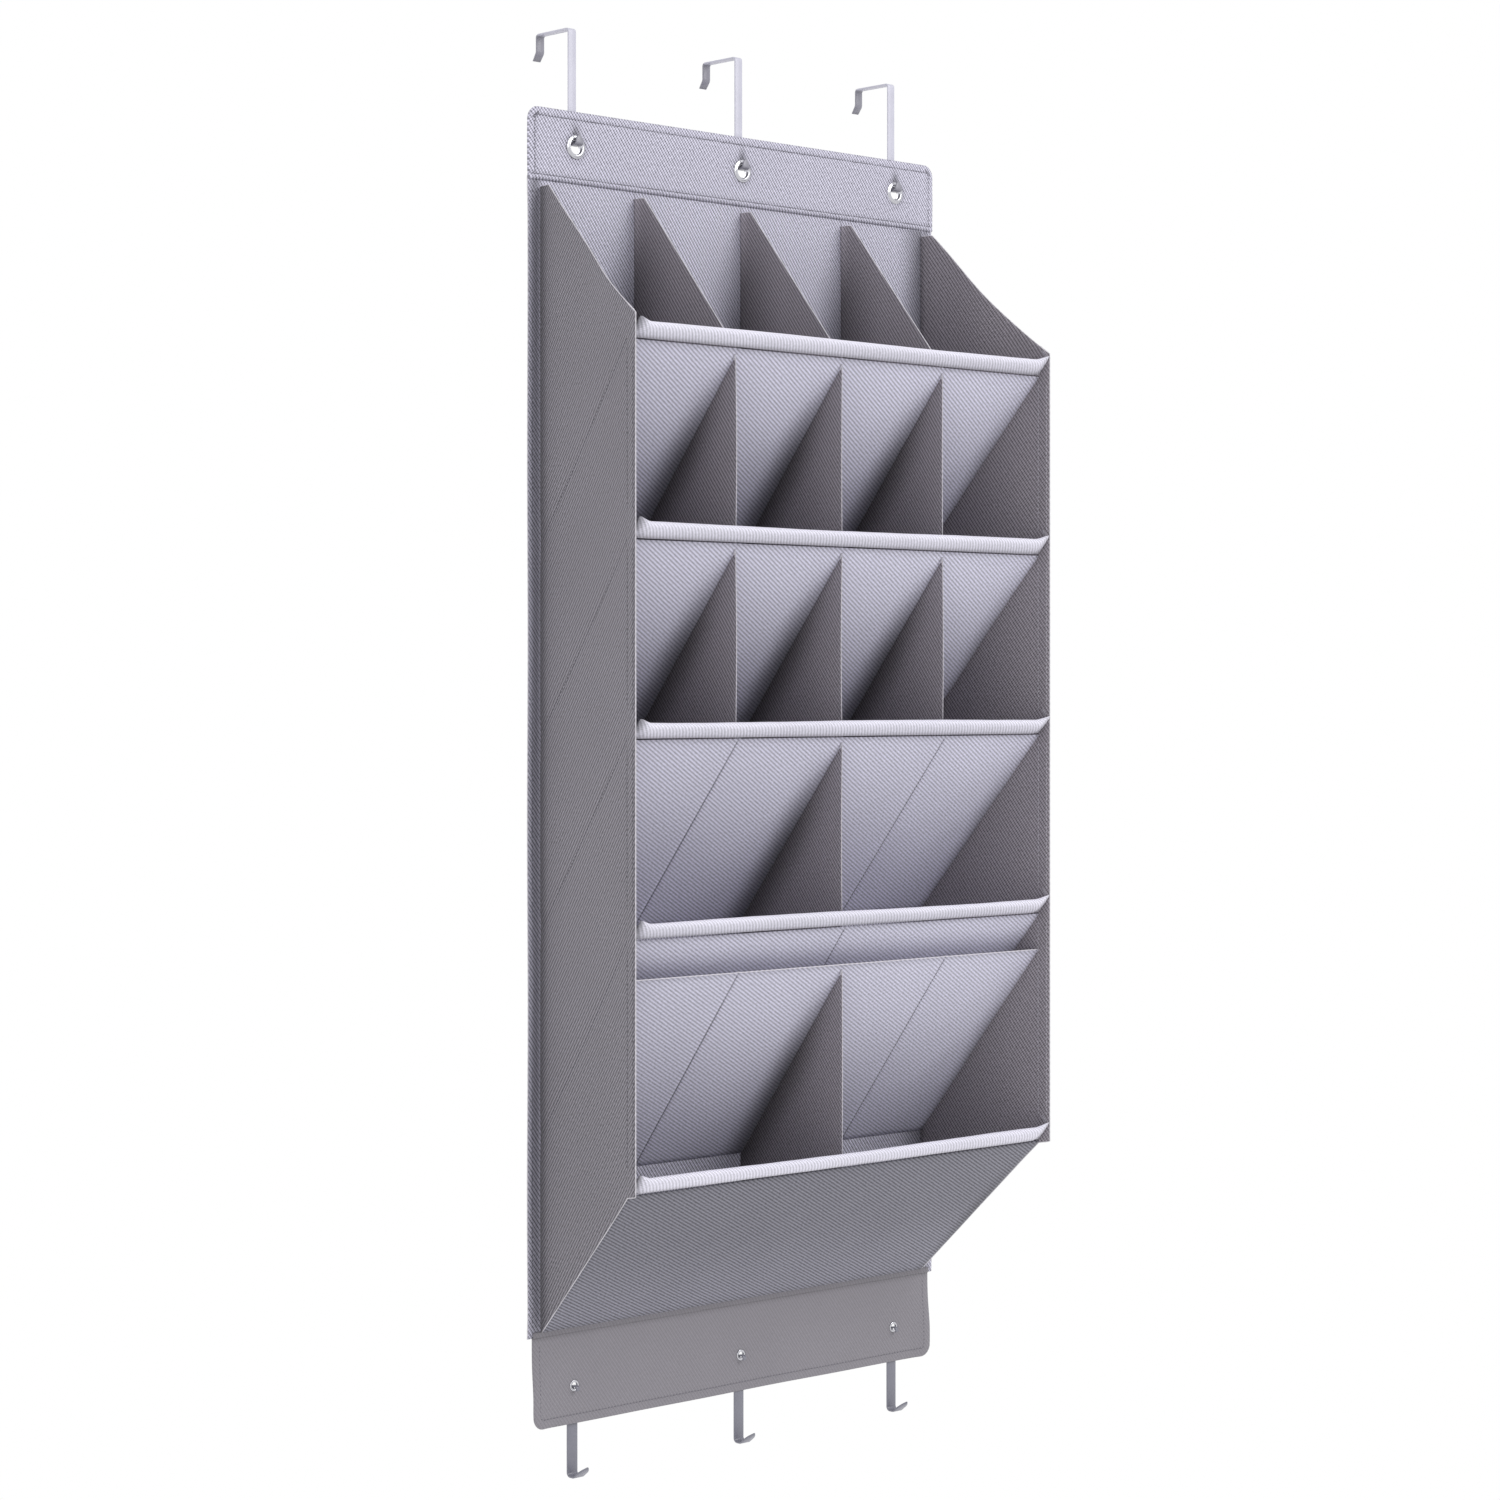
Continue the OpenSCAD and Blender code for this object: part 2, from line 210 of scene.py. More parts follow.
@dataclass(frozen=True)
class Cloth:
    """A woven finish.

    Attributes:
        name: Name of the material.
        slot: Name of its material slot; not used.
        tone: Display colour of the cloth.
        contrast: How far the gaps between yarns are darker.
        pitch: Width of one rib in metres.
        relief: Strength of the weave's relief.
        sheen: Weight of the soft sheen.
    """

    name: str
    slot: str
    tone: tuple[int, int, int]
    contrast: float = 0.30
    pitch: float = 0.0032
    relief: float = 0.35
    sheen: float = 0.12

    def build(self) -> bpy.types.Material:
        """Makes the material.

        Returns:
            The material, woven in the piece's cloth coordinates, its colour multiplied by the painted light
            and shade of its shade attribute.
        """
        material = bpy.data.materials.new(self.name)
        material.use_nodes = True
        n = Nodes(material.node_tree)
        n.tree.nodes.clear()
        uv = n.add("ShaderNodeUVMap", uv_map="cloth")
        weave = n.add("ShaderNodeGroup", node_tree=GROUPS[Effect.WEAVE])
        weave.inputs["Pitch"].default_value = self.pitch
        n.link(uv.outputs[0], weave.inputs["Vector"])
        place = n.add("ShaderNodeTexCoord")
        mottle = n.add("ShaderNodeGroup", node_tree=GROUPS[Effect.MOTTLE])
        n.link(place.outputs["Object"], mottle.inputs["Vector"])
        base = linear(self.tone)
        yarn = n.add("ShaderNodeMix", data_type="RGBA")
        yarn.inputs["A"].default_value = (*[c * (1 - self.contrast) for c in base[:3]], 1)
        yarn.inputs["B"].default_value = (*[min(1.0, c * (1 + self.contrast)) for c in base[:3]], 1)
        n.link(weave.outputs["Shade"], yarn.inputs["Factor"])
        shade = n.add("ShaderNodeAttribute", attribute_name="shade")
        tone = n.math("MULTIPLY", shade.outputs["Fac"], n.math("MULTIPLY_ADD", mottle.outputs[0], 0.16, 0.92))
        dark = n.add("ShaderNodeMix", data_type="RGBA", blend_type="MULTIPLY")
        dark.inputs["Factor"].default_value = 1.0
        n.link(yarn.outputs["Result"], dark.inputs["A"])
        n.link(tone, dark.inputs["B"])
        bump = n.add("ShaderNodeBump", Strength=self.relief, Distance=0.0004)
        n.link(weave.outputs["Height"], bump.inputs["Height"])
        shader = n.add("ShaderNodeBsdfPrincipled")
        n.link(dark.outputs["Result"], shader.inputs["Base Color"])
        n.link(n.math("MULTIPLY_ADD", weave.outputs["Height"], -0.12, 0.80), shader.inputs["Roughness"])
        n.link(bump.outputs[0], shader.inputs["Normal"])
        shader.inputs["Specular IOR Level"].default_value = 0.25
        shader.inputs["Sheen Weight"].default_value = self.sheen
        shader.inputs["Sheen Roughness"].default_value = 0.45
        n.link(shader.outputs[0], n.add("ShaderNodeOutputMaterial").inputs[0])
        return material


@dataclass(frozen=True)
class Yarn:
    """A twisted sewing thread or a cut edge.

    Attributes:
        name: Name of the material.
        slot: Name of its material slot; not used.
        tone: Display colour.
        twist: Turns of the thread in each metre.
    """

    name: str
    slot: str
    tone: tuple[int, int, int]
    twist: float = 900.0

    def build(self) -> bpy.types.Material:
        """Makes the material.

        Returns:
            The material, twisted as spun thread is.
        """
        material = bpy.data.materials.new(self.name)
        material.use_nodes = True
        n = Nodes(material.node_tree)
        n.tree.nodes.clear()
        place = n.add("ShaderNodeTexCoord")
        ply = n.add("ShaderNodeTexWave", bands_direction="DIAGONAL", Scale=self.twist / 10, Distortion=1.0)
        n.link(place.outputs["Object"], ply.inputs["Vector"])
        base = linear(self.tone)
        tone = n.add("ShaderNodeMix", data_type="RGBA")
        tone.inputs["A"].default_value = (*[c * 0.8 for c in base[:3]], 1)
        tone.inputs["B"].default_value = base
        n.link(ply.outputs["Fac"], tone.inputs["Factor"])
        bump = n.add("ShaderNodeBump", Strength=0.3, Distance=0.0002)
        n.link(ply.outputs["Fac"], bump.inputs["Height"])
        shader = n.add("ShaderNodeBsdfPrincipled")
        shader.inputs["Roughness"].default_value = 0.7
        n.link(tone.outputs["Result"], shader.inputs["Base Color"])
        n.link(bump.outputs[0], shader.inputs["Normal"])
        n.link(shader.outputs[0], n.add("ShaderNodeOutputMaterial").inputs[0])
        return material


@dataclass(frozen=True)
class Metal:
    """A plated or painted metal finish.

    Attributes:
        name: Name of the material.
        slot: Name of its material slot; not used.
        tone: Display colour.
        metallic: 1 for bare plate and 0 for paint.
        roughness: Middle roughness.
        coat: Weight of the clear coat.
        grain: Scale of the fine surface grain.
    """

    name: str
    slot: str
    tone: tuple[int, int, int]
    metallic: float
    roughness: float
    coat: float = 0.0
    grain: float = 900.0

    def build(self) -> bpy.types.Material:
        """Makes the material.

        Returns:
            The material, with a fine grain and a slow change of tone.
        """
        material = bpy.data.materials.new(self.name)
        material.use_nodes = True
        n = Nodes(material.node_tree)
        n.tree.nodes.clear()
        place = n.add("ShaderNodeTexCoord")
        grain = n.add("ShaderNodeTexNoise", Scale=self.grain, Detail=3.0)
        n.link(place.outputs["Object"], grain.inputs["Vector"])
        mottle = n.add("ShaderNodeGroup", node_tree=GROUPS[Effect.MOTTLE])
        mottle.inputs["Scale"].default_value = 60.0
        n.link(place.outputs["Object"], mottle.inputs["Vector"])
        base = linear(self.tone)
        tone = n.add("ShaderNodeMix", data_type="RGBA")
        tone.inputs["A"].default_value = (*[c * 0.86 for c in base[:3]], 1)
        tone.inputs["B"].default_value = (*[min(1.0, c * 1.06) for c in base[:3]], 1)
        n.link(mottle.outputs[0], tone.inputs["Factor"])
        bump = n.add("ShaderNodeBump", Strength=0.08, Distance=0.0001)
        n.link(grain.outputs[0], bump.inputs["Height"])
        shader = n.add("ShaderNodeBsdfPrincipled")
        shader.inputs["Metallic"].default_value = self.metallic
        shader.inputs["Coat Weight"].default_value = self.coat
        shader.inputs["Coat Roughness"].default_value = 0.2
        n.link(tone.outputs["Result"], shader.inputs["Base Color"])
        rough = n.math("MULTIPLY_ADD", mottle.outputs[0], 0.14, self.roughness - 0.07)
        n.link(rough, shader.inputs["Roughness"])
        n.link(bump.outputs[0], shader.inputs["Normal"])
        n.link(shader.outputs[0], n.add("ShaderNodeOutputMaterial").inputs[0])
        return material


FINISHES = {
    "front": Cloth("light_cloth", "light_fabric", (176, 174, 187), contrast=0.85),
    # Painted light: the sheet and lip tones are paler copies of the light cloth above, standing in for the
    # light on the sheets and on the rolled lips.
    "sheet": Cloth("sheet_cloth", "light_fabric", (193, 191, 206), contrast=0.6),
    "lip": Cloth("lip_cloth", "lip_fabric", (212, 210, 221), contrast=0.36, sheen=0.2),
    # Painted shade: the side, divider, under and flap tones are darker copies of the light cloth, standing in
    # for shade on faces that turn away from the light or downwards.
    "side": Cloth("side_cloth", "grey_fabric", (122, 119, 125), contrast=0.9),
    "divider": Cloth("divider_cloth", "grey_fabric", (138, 133, 139), contrast=0.75),
    "under": Cloth("under_cloth", "light_fabric", (113, 112, 121), contrast=0.9),
    "flap": Cloth("flap_cloth", "grey_fabric", (131, 128, 133), contrast=0.15, relief=0.2),
    "edge": Yarn("pale_edge", "lip_fabric", (208, 205, 210)),
    "thread": Yarn("grey_thread", "grey_fabric", (107, 105, 114)),
    "dark_thread": Yarn("dark_thread", "grey_fabric", (76, 74, 83)),
    "pale_thread": Yarn("pale_thread", "light_fabric", (194, 192, 200)),
    "plate": Metal("nickel_plate", "grommet_steel", (206, 206, 210), 1.0, 0.16),
    "top_paint": Metal("pale_paint", "top_hook_paint", (192, 191, 203), 0.0, 0.42, coat=0.3),
    # Painted shade: a darker copy of the hook paint, for the tip and the tongue that turn away from the
    # light.
    "tongue_painted_shade": Metal("shaded_paint", "top_hook_paint", (136, 135, 144), 0.0, 0.42, coat=0.3),
    "foot_paint": Metal("grey_paint", "bottom_hook_paint", (120, 120, 130), 0.0, 0.42, coat=0.3),
}
MATERIALS: dict[str, bpy.types.Material] = {}


# Mesh building


def add_mesh(
    name: str,
    points: np.ndarray,
    faces: Sequence[Sequence[int]],
    finishes: Sequence[str],
    uv: np.ndarray | None = None,
    shade: np.ndarray | None = None,
    face_finish: Sequence[int] | None = None,
) -> bpy.types.Object:
    """Makes a smooth-shaded mesh object.

    Args:
        name: Name of the piece.
        points: Its vertices, in metres.
        faces: Vertex numbers of each face.
        finishes: Keys of its finishes.
        uv: Cloth coordinates of each vertex, in metres.
        shade: Painted light and shade of each vertex, 1 for none.
        face_finish: Which finish each face has.

    Returns:
        The object.
    """
    mesh = bpy.data.meshes.new(name)
    mesh.from_pydata([tuple(p) for p in points], [], [tuple(f) for f in faces])
    for key in finishes:
        mesh.materials.append(MATERIALS[key])
    if face_finish is not None:
        mesh.polygons.foreach_set("material_index", np.asarray(face_finish, np.int32))
    mesh.polygons.foreach_set("use_smooth", np.ones(len(mesh.polygons), bool))
    layer = mesh.uv_layers.new(name="cloth")
    corner = np.zeros(len(mesh.loops), np.int32)
    mesh.loops.foreach_get("vertex_index", corner)
    flat = uv if uv is not None else np.asarray(points)[:, [0, 2]]
    layer.data.foreach_set("uv", np.asarray(flat, np.float32)[corner].ravel())
    tone = mesh.attributes.new("shade", "FLOAT", "POINT")
    value = np.ones(len(points)) if shade is None else shade
    tone.data.foreach_set("value", np.asarray(value, np.float32))
    obj = bpy.data.objects.new(name, mesh)
    bpy.context.scene.collection.objects.link(obj)
    return obj


def steps(start: float, stop: float, pitch: float, *extra: float) -> np.ndarray:
    """Even positions between two ends, with extra ones put in.

    Args:
        start: First position.
        stop: Last position.
        pitch: Largest distance between neighbours.
        extra: Positions that are put in, where they lie inside.

    Returns:
        The sorted positions.
    """
    count = max(2, int(math.ceil(abs(stop - start) / pitch)) + 1)
    inside = [e for e in extra if min(start, stop) < e < max(start, stop)]
    spots = np.unique(np.round(np.concatenate([np.linspace(start, stop, count), inside]), 6))
    return spots if stop > start else spots[::-1]


def around(spots: Sequence[float], reach: float, pitch: float) -> list[float]:
    """Positions every pitch within reach of each spot."""
    count = int(reach / pitch)
    return [s + k * pitch for s in spots for k in range(-count, count + 1)]


def ridge(value: np.ndarray, centre: float, width: float) -> np.ndarray:
    """A smooth bump of height 1 at centre that is gone at width from it."""
    return np.clip(1 - ((value - centre) / width) ** 2, 0, 1) ** 2


def smooth(value: np.ndarray) -> np.ndarray:
    """A smooth step from 0 to 1 of a value from 0 to 1."""
    t = np.clip(value, 0, 1)
    return t * t * (3 - 2 * t)


@dataclass
class Sheet:
    """A sheet of cloth on a grid, closed with a rounded rim.

    Attributes:
        name: Name of the piece.
        points: Its middle surface, rows by columns by 3, in metres.
        uv: Cloth coordinates of each grid point, in metres.
        thick: Thickness, one for the sheet or one for each grid point.
        shade: Painted light and shade of each grid point.
        keep: Which cells of the grid are cloth.
        finishes: Keys of the finishes of its front, back and rim.
        shade_behind: Whether the back layer gets the painted light and shade too.
    """

    name: str
    points: np.ndarray
    uv: np.ndarray
    thick: float | np.ndarray = 1.2 * MM
    shade: np.ndarray | None = None
    keep: np.ndarray | None = None
    finishes: tuple[str, str, str] = ("sheet", "sheet", "edge")
    shade_behind: bool = False

    def normals(self) -> np.ndarray:
        """Unit normals of the middle surface."""
        n = np.cross(np.gradient(self.points, axis=0), np.gradient(self.points, axis=1))
        return n / np.maximum(np.linalg.norm(n, axis=2, keepdims=True), 1e-12)

    def build(self) -> bpy.types.Object:
        """Makes the closed mesh.

        Returns:
            The object.
        """
        rows, columns = self.points.shape[:2]
        half = np.broadcast_to(np.asarray(self.thick, float), (rows, columns))[..., None] / 2
        normal = self.normals()
        count = rows * columns
        middle = self.points.reshape(-1, 3)
        front = (self.points + normal * half).reshape(-1, 3)
        back = (self.points - normal * half).reshape(-1, 3)
        at = np.arange(count).reshape(rows, columns)
        cells = np.stack([at[:-1, :-1], at[1:, :-1], at[1:, 1:], at[:-1, 1:]], axis=-1)
        keep = np.ones((rows - 1, columns - 1), bool) if self.keep is None else self.keep
        quads = cells[keep]
        ends = np.concatenate([quads[:, [k, (k + 1) % 4]] for k in range(4)])
        code = ends[:, 0] * count + ends[:, 1]
        border = ends[~np.isin(code, ends[:, 1] * count + ends[:, 0])]
        flat_n = normal.reshape(-1, 3)
        away = np.zeros((count, 3))
        run = middle[border[:, 1]] - middle[border[:, 0]]
        side = np.cross(run, flat_n[border[:, 0]])
        side /= np.maximum(np.linalg.norm(side, axis=1, keepdims=True), 1e-12)
        np.add.at(away, border[:, 0], side)
        np.add.at(away, border[:, 1], side)
        on_rim = np.unique(border)
        out = away[on_rim] / np.maximum(np.linalg.norm(away[on_rim], axis=1, keepdims=True), 1e-12)
        rim_points = middle[on_rim] + out * half.reshape(-1, 1)[on_rim] * 0.9
        rim_at = np.full(count, -1)
        rim_at[on_rim] = 2 * count + np.arange(len(on_rim))
        a, b = border[:, 0], border[:, 1]
        upper = np.stack([b, a, rim_at[a], rim_at[b]], axis=1)
        lower = np.stack([rim_at[b], rim_at[a], a + count, b + count], axis=1)
        faces = np.concatenate([quads, quads[:, ::-1] + count, upper, lower])
        kind = np.concatenate(
            [np.zeros(len(quads)), np.ones(len(quads)), np.full(2 * len(border), 2)]
        ).astype(int)
        points = np.concatenate([front, back, rim_points])
        flat = self.uv.reshape(-1, 2)
        uv = np.concatenate([flat, flat, flat[on_rim]])
        tone = np.ones(count) if self.shade is None else np.asarray(self.shade, float).reshape(-1)
        tone = np.concatenate([tone, tone if self.shade_behind else np.ones(count), tone[on_rim]])
        used = np.unique(faces)
        move = np.full(len(points), -1)
        move[used] = np.arange(len(used))
        keys = list(dict.fromkeys(self.finishes))
        index = np.array([keys.index(k) for k in self.finishes])
        faces = move[faces].tolist()
        return add_mesh(self.name, points[used], faces, keys, uv[used], tone[used], index[kind])


def round_holes(
    x: np.ndarray, z: np.ndarray, spots: Sequence[tuple[float, float]], radius: float
) -> tuple[np.ndarray, np.ndarray, np.ndarray]:
    """Opens round holes in a grid.

    Args:
        x: Horizontal place of each grid point.
        z: Vertical place of each grid point.
        spots: Centres of the holes.
        radius: Their radius.

    Returns:
        The moved x and z, and which cells are left.
    """
    keep = np.ones((x.shape[0] - 1, x.shape[1] - 1), bool)
    mid_x = (x[:-1, :-1] + x[1:, :-1] + x[1:, 1:] + x[:-1, 1:]) / 4
    mid_z = (z[:-1, :-1] + z[1:, :-1] + z[1:, 1:] + z[:-1, 1:]) / 4
    for cx, cz in spots:
        gone = np.hypot(mid_x - cx, mid_z - cz) < radius
        keep &= ~gone
        touched = np.zeros(x.shape, bool)
        for di in (0, 1):
            for dj in (0, 1):
                touched[di : di + gone.shape[0], dj : dj + gone.shape[1]] |= gone
        far = np.hypot(x - cx, z - cz)
        scale = np.where(touched & (far > 1e-9), radius / np.maximum(far, 1e-9), 1.0)
        x, z = cx + (x - cx) * scale, cz + (z - cz) * scale
    return x, z, keep


@dataclass
class Stitching:
    """Rows of stitches, gathered into one piece.

    Attributes:
        name: Name of the piece.
        body: The body it rides on.
        finish: Key of the thread's finish.
        length: Length of one stitch in metres.
        space: Distance between the starts of two stitches.
        radius: Radius of the thread.
        parts: The rings of points of each stitch made so far.
    """

    name: str
    body: str
    finish: str = "thread"
    length: float = 3.2 * MM
    space: float = 4.4 * MM
    radius: float = 0.34 * MM
    parts: list = field(default_factory=list)

    def stitch(self, start: Vector, end: Vector, out: Vector) -> None:
        """Adds one stitch that arches over the cloth.

        Args:
            start: Where the thread leaves the cloth.
            end: Where it goes in again.
            out: Direction away from the cloth.
        """
        run = Vector(end) - Vector(start)
        along = run.normalized()
        out = (Vector(out) - along * along.dot(Vector(out))).normalized()
        side = along.cross(out)
        rings = []
        for t, r in ((0.02, 0.45), (0.2, 0.9), (0.5, 1.0), (0.8, 0.9), (0.98, 0.45)):
            lift = out * (self.radius * (1.5 * math.sin(math.pi * t) - 0.5))
            centre = Vector(start) + run * t + lift
            rings.append([
                centre + (side * math.cos(a) * 1.15 + out * math.sin(a)) * self.radius * r
                for a in (math.tau * s / 6 for s in range(6))
            ])
        self.parts.append(rings)

    def row(self, path: Sequence[Sequence[float]], out: Sequence[float]) -> None:
        """Adds a row of stitches along a path.

        Args:
            path: Points of the path on the cloth's face.
            out: Direction away from the cloth.
        """
        spots = [Vector(p) for p in path]
        lengths = [(b - a).length for a, b in zip(spots, spots[1:])]
        total, at = sum(lengths), self.space * 0.3

        def place(s: float) -> Vector:
            """Finds the point at a length along the path.

            Args:
                s: The length.

            Returns:
                The point.
            """
            for a, b, l in zip(spots, spots[1:], lengths):
                if s <= l:
                    return a.lerp(b, s / max(l, 1e-9))
                s -= l
            return spots[-1]

        while at + self.length < total:
            self.stitch(place(at), place(at + self.length), Vector(out))
            at += self.space

    def tack(
        self, centre: Sequence[float], along: Sequence[float], out: Sequence[float], size: float = 5 * MM
    ) -> None:
        """Adds a bar tack: a few close stitches across a short line.

        Args:
            centre: Middle of the line.
            along: Direction of the line.
            out: Direction away from the cloth.
            size: Length of the line.
        """
        middle, along = Vector(centre), Vector(along).normalized()
        reach = along.cross(Vector(out)).normalized() * 1.3 * MM
        for k in range(-3, 4):
            shift = along * (k * size / 6)
            lean = along * (0.3 * MM if k % 2 else -0.3 * MM)
            self.stitch(middle + shift - reach - lean, middle + shift + reach + lean, Vector(out))

    def build(self) -> bpy.types.Object:
        """Makes the one mesh of all stitches and puts it on its body.

        Returns:
            The object.
        """
        points, faces = [], []
        for rings in self.parts:
            base = len(points)
            for ring in rings:
                points.extend(ring)
            for k in range(len(rings) - 1):
                for s in range(6):
                    a, b = base + 6 * k + s, base + 6 * k + (s + 1) % 6
                    faces.append((a, b, b + 6, a + 6))
            faces.append(tuple(base + s for s in range(5, -1, -1)))
            faces.append(tuple(base + 6 * (len(rings) - 1) + s for s in range(6)))
        obj = add_mesh(self.name, np.array([tuple(p) for p in points]), faces, [self.finish])
        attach(obj, self.body)
        return obj


def lathe(
    name: str, centre: Vector, profile: Sequence[tuple[float, float]], finish: str, turns: int = 48
) -> bpy.types.Object:
    """Turns a closed profile round an axis along Y.

    Args:
        name: Name of the piece.
        centre: A point on the axis.
        profile: Radius and y offset of each point of the profile.
        finish: Key of the finish.
        turns: Points round the axis.

    Returns:
        The object.
    """
    points, faces = [], []
    count = len(profile)
    for k in range(turns):
        a = math.tau * k / turns
        points += [(centre.x + r * math.cos(a), centre.y + y, centre.z + r * math.sin(a)) for r, y in profile]
    for k in range(turns):
        for j in range(count):
            a, b = k * count + j, k * count + (j + 1) % count
            c, d = ((k + 1) % turns) * count + (j + 1) % count, ((k + 1) % turns) * count + j
            faces.append((a, b, c, d))
    return add_mesh(name, np.array(points), faces, [finish])


def filleted(corners: Sequence[tuple[float, float]], radii: Sequence[float], parts: int = 7) -> np.ndarray:
    """Rounds the corners of a line.

    Args:
        corners: Its corners, as y and z.
        radii: Radius at each inner corner.
        parts: Points on each rounded corner.

    Returns:
        Points of the rounded line.
    """
    out = [np.array(corners[0], float)]
    for k in range(1, len(corners) - 1):
        p = np.array(corners[k], float)
        u = np.array(corners[k - 1], float) - p
        v = np.array(corners[k + 1], float) - p
        u, v = u / np.linalg.norm(u), v / np.linalg.norm(v)
        half = math.acos(float(np.clip(u @ v, -1, 1))) / 2
        reach = radii[k - 1] / math.tan(half)
        centre = p + (u + v) / np.linalg.norm(u + v) * (radii[k - 1] / math.sin(half))
        a, b = p + u * reach - centre, p + v * reach - centre
        for t in np.linspace(0, 1, parts):
            d = a * (1 - t) + b * t
            out.append(centre + d / np.linalg.norm(d) * radii[k - 1])
    out.append(np.array(corners[-1], float))
    return np.array(out)


def strip(
    name: str,
    x: float,
    path: np.ndarray,
    width: Callable[[float], float],
    thick: float,
    finish_at: Callable[[float], int],
    finishes: Sequence[str],
) -> bpy.types.Object:
    """Sweeps a flat strip with rounded edges along a line in the Y-Z plane.

    Args:
        name: Name of the piece.
        x: Where its middle is across the rack.
        path: Points of its middle line, as y and z.
        width: Width at a length along the line.
        thick: Thickness of the strip.
        finish_at: Which finish a length along the line has.
        finishes: Keys of the finishes.

    Returns:
        The object.
    """
    dense = [path[0]]
    for a, b in zip(path, path[1:]):
        count = max(1, int(np.linalg.norm(b - a) / (4 * MM)))
        dense += [a + (b - a) * (k + 1) / count for k in range(count)]
    line = np.array(dense)
    tangent = np.gradient(line, axis=0)
    tangent /= np.linalg.norm(tangent, axis=1, keepdims=True)
    at = np.concatenate([[0], np.cumsum(np.linalg.norm(np.diff(line, axis=0), axis=1))])
    total = float(at[-1])
    edge = min(0.35 * MM, thick * 0.3)
    cut = edge * 0.3
    points, faces, kind = [], [], []
    for p, t, s in zip(line, tangent, at):
        end = max(0.0, 1 - min(s, total - s) / (0.4 * MM))
        w, h = width(float(s)) / 2 - edge * end * 0.6, thick / 2 - edge * end * 0.6
        n = np.array([-t[1], t[0]])
        for u, v in (
            (-w, -h + edge), (-w + cut, -h + cut), (-w + edge, -h), (w - edge, -h), (w - cut, -h + cut),
            (w, -h + edge), (w, h - edge), (w - cut, h - cut), (w - edge, h), (-w + edge, h),
            (-w + cut, h - cut), (-w, h - edge),
        ):
            y, z = p + n * v
            points.append((x + u, y, z))
    ring = 12
    for k in range(len(line) - 1):
        for j in range(ring):
            a, b = k * ring + j, k * ring + (j + 1) % ring
            faces.append((a, b, b + ring, a + ring))
            kind.append(finish_at(float(at[k])))
    faces += [tuple(range(ring - 1, -1, -1)), tuple((len(line) - 1) * ring + j for j in range(ring))]
    kind += [finish_at(0.0), finish_at(total)]
    return add_mesh(name, np.array(points), faces, finishes, face_finish=kind)


def settle(obj: bpy.types.Object, body: str, finish: str, *nodes: str) -> bpy.types.Object:
    """Puts a piece on its body and has it stand for CAD nodes.

    Args:
        obj: The piece.
        body: Body it rides on.
        finish: Key of its main finish; not used.
        nodes: CAD nodes that it replaces.

    Returns:
        The piece.
    """
    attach(obj, body)
    if nodes:
        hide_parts(*nodes)
    LOG.info("%s rides on %s, %d faces", obj.name, body, len(obj.data.polygons))
    return obj


def middle_of(node: str) -> Vector:
    """Middle of a CAD node's box."""
    low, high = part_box(node)
    return (low + high) / 2


def length_of(path: np.ndarray) -> float:
    """Length of the line through a row of points."""
    return float(np.sum(np.linalg.norm(np.diff(path, axis=0), axis=1)))


# Sizes of the whole rack


@dataclass(frozen=True)
class Layout:
    """Where the frame's fabric is, in metres.

    Attributes:
        half: Half the width of the sides' front edges.
        flare: How much closer to the middle the sides are at the back.
        front: y of the sides' front edges.
        seam: y of the seams between sheets and lips.
        inner: y of the sheets' rear ends.
        panel: y of the middle of the back fabric.
        rear: y of the door side of the back fabric.
        fold: z of the header seam.
        base: z of the bottom seam.
        lips: z of each lip's seam, from the top.
        skin: Thickness of one layer of fabric.
    """

    half: float
    flare: float
    front: float
    seam: float
    inner: float
    panel: float
    rear: float
    fold: float
    base: float
    lips: tuple[float, ...]
    skin: float = 1.2 * MM

    @classmethod
    def from_frame(cls) -> "Layout":
        """Reads the places from the frame's boxes.

        Returns:
            The places.
        """
        back_low, back_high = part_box("back_panel")
        sheet_low, sheet_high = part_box("pocket_sheet_1")
        header_low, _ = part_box("header_rear")
        return cls(
            half=280 * MM,
            flare=22 * MM,
            front=back_high.y - 160 * MM,
            seam=sheet_low.y,
            inner=sheet_high.y,
            panel=(back_low.y + back_high.y) / 2,
            rear=back_high.y,
            fold=header_low.z - 1.6 * MM,
            base=back_low.z - 0.9 * MM,
            lips=tuple(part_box(f"lip_{k}")[0].z for k in range(1, 6)),
        )

    def inside(self, y: np.ndarray) -> np.ndarray:
        """Half the clear width between the sides at depth y."""
        return self.half - 1.7 * MM - self.flare * (y - self.front) / (self.inner - self.front)

    def outside(self, y: np.ndarray) -> np.ndarray:
        """Half the width over the middles of the sides at depth y."""
        return self.half - 0.7 * MM - self.flare * (y - self.front) / (self.inner - self.front)


# Sub-assemblies


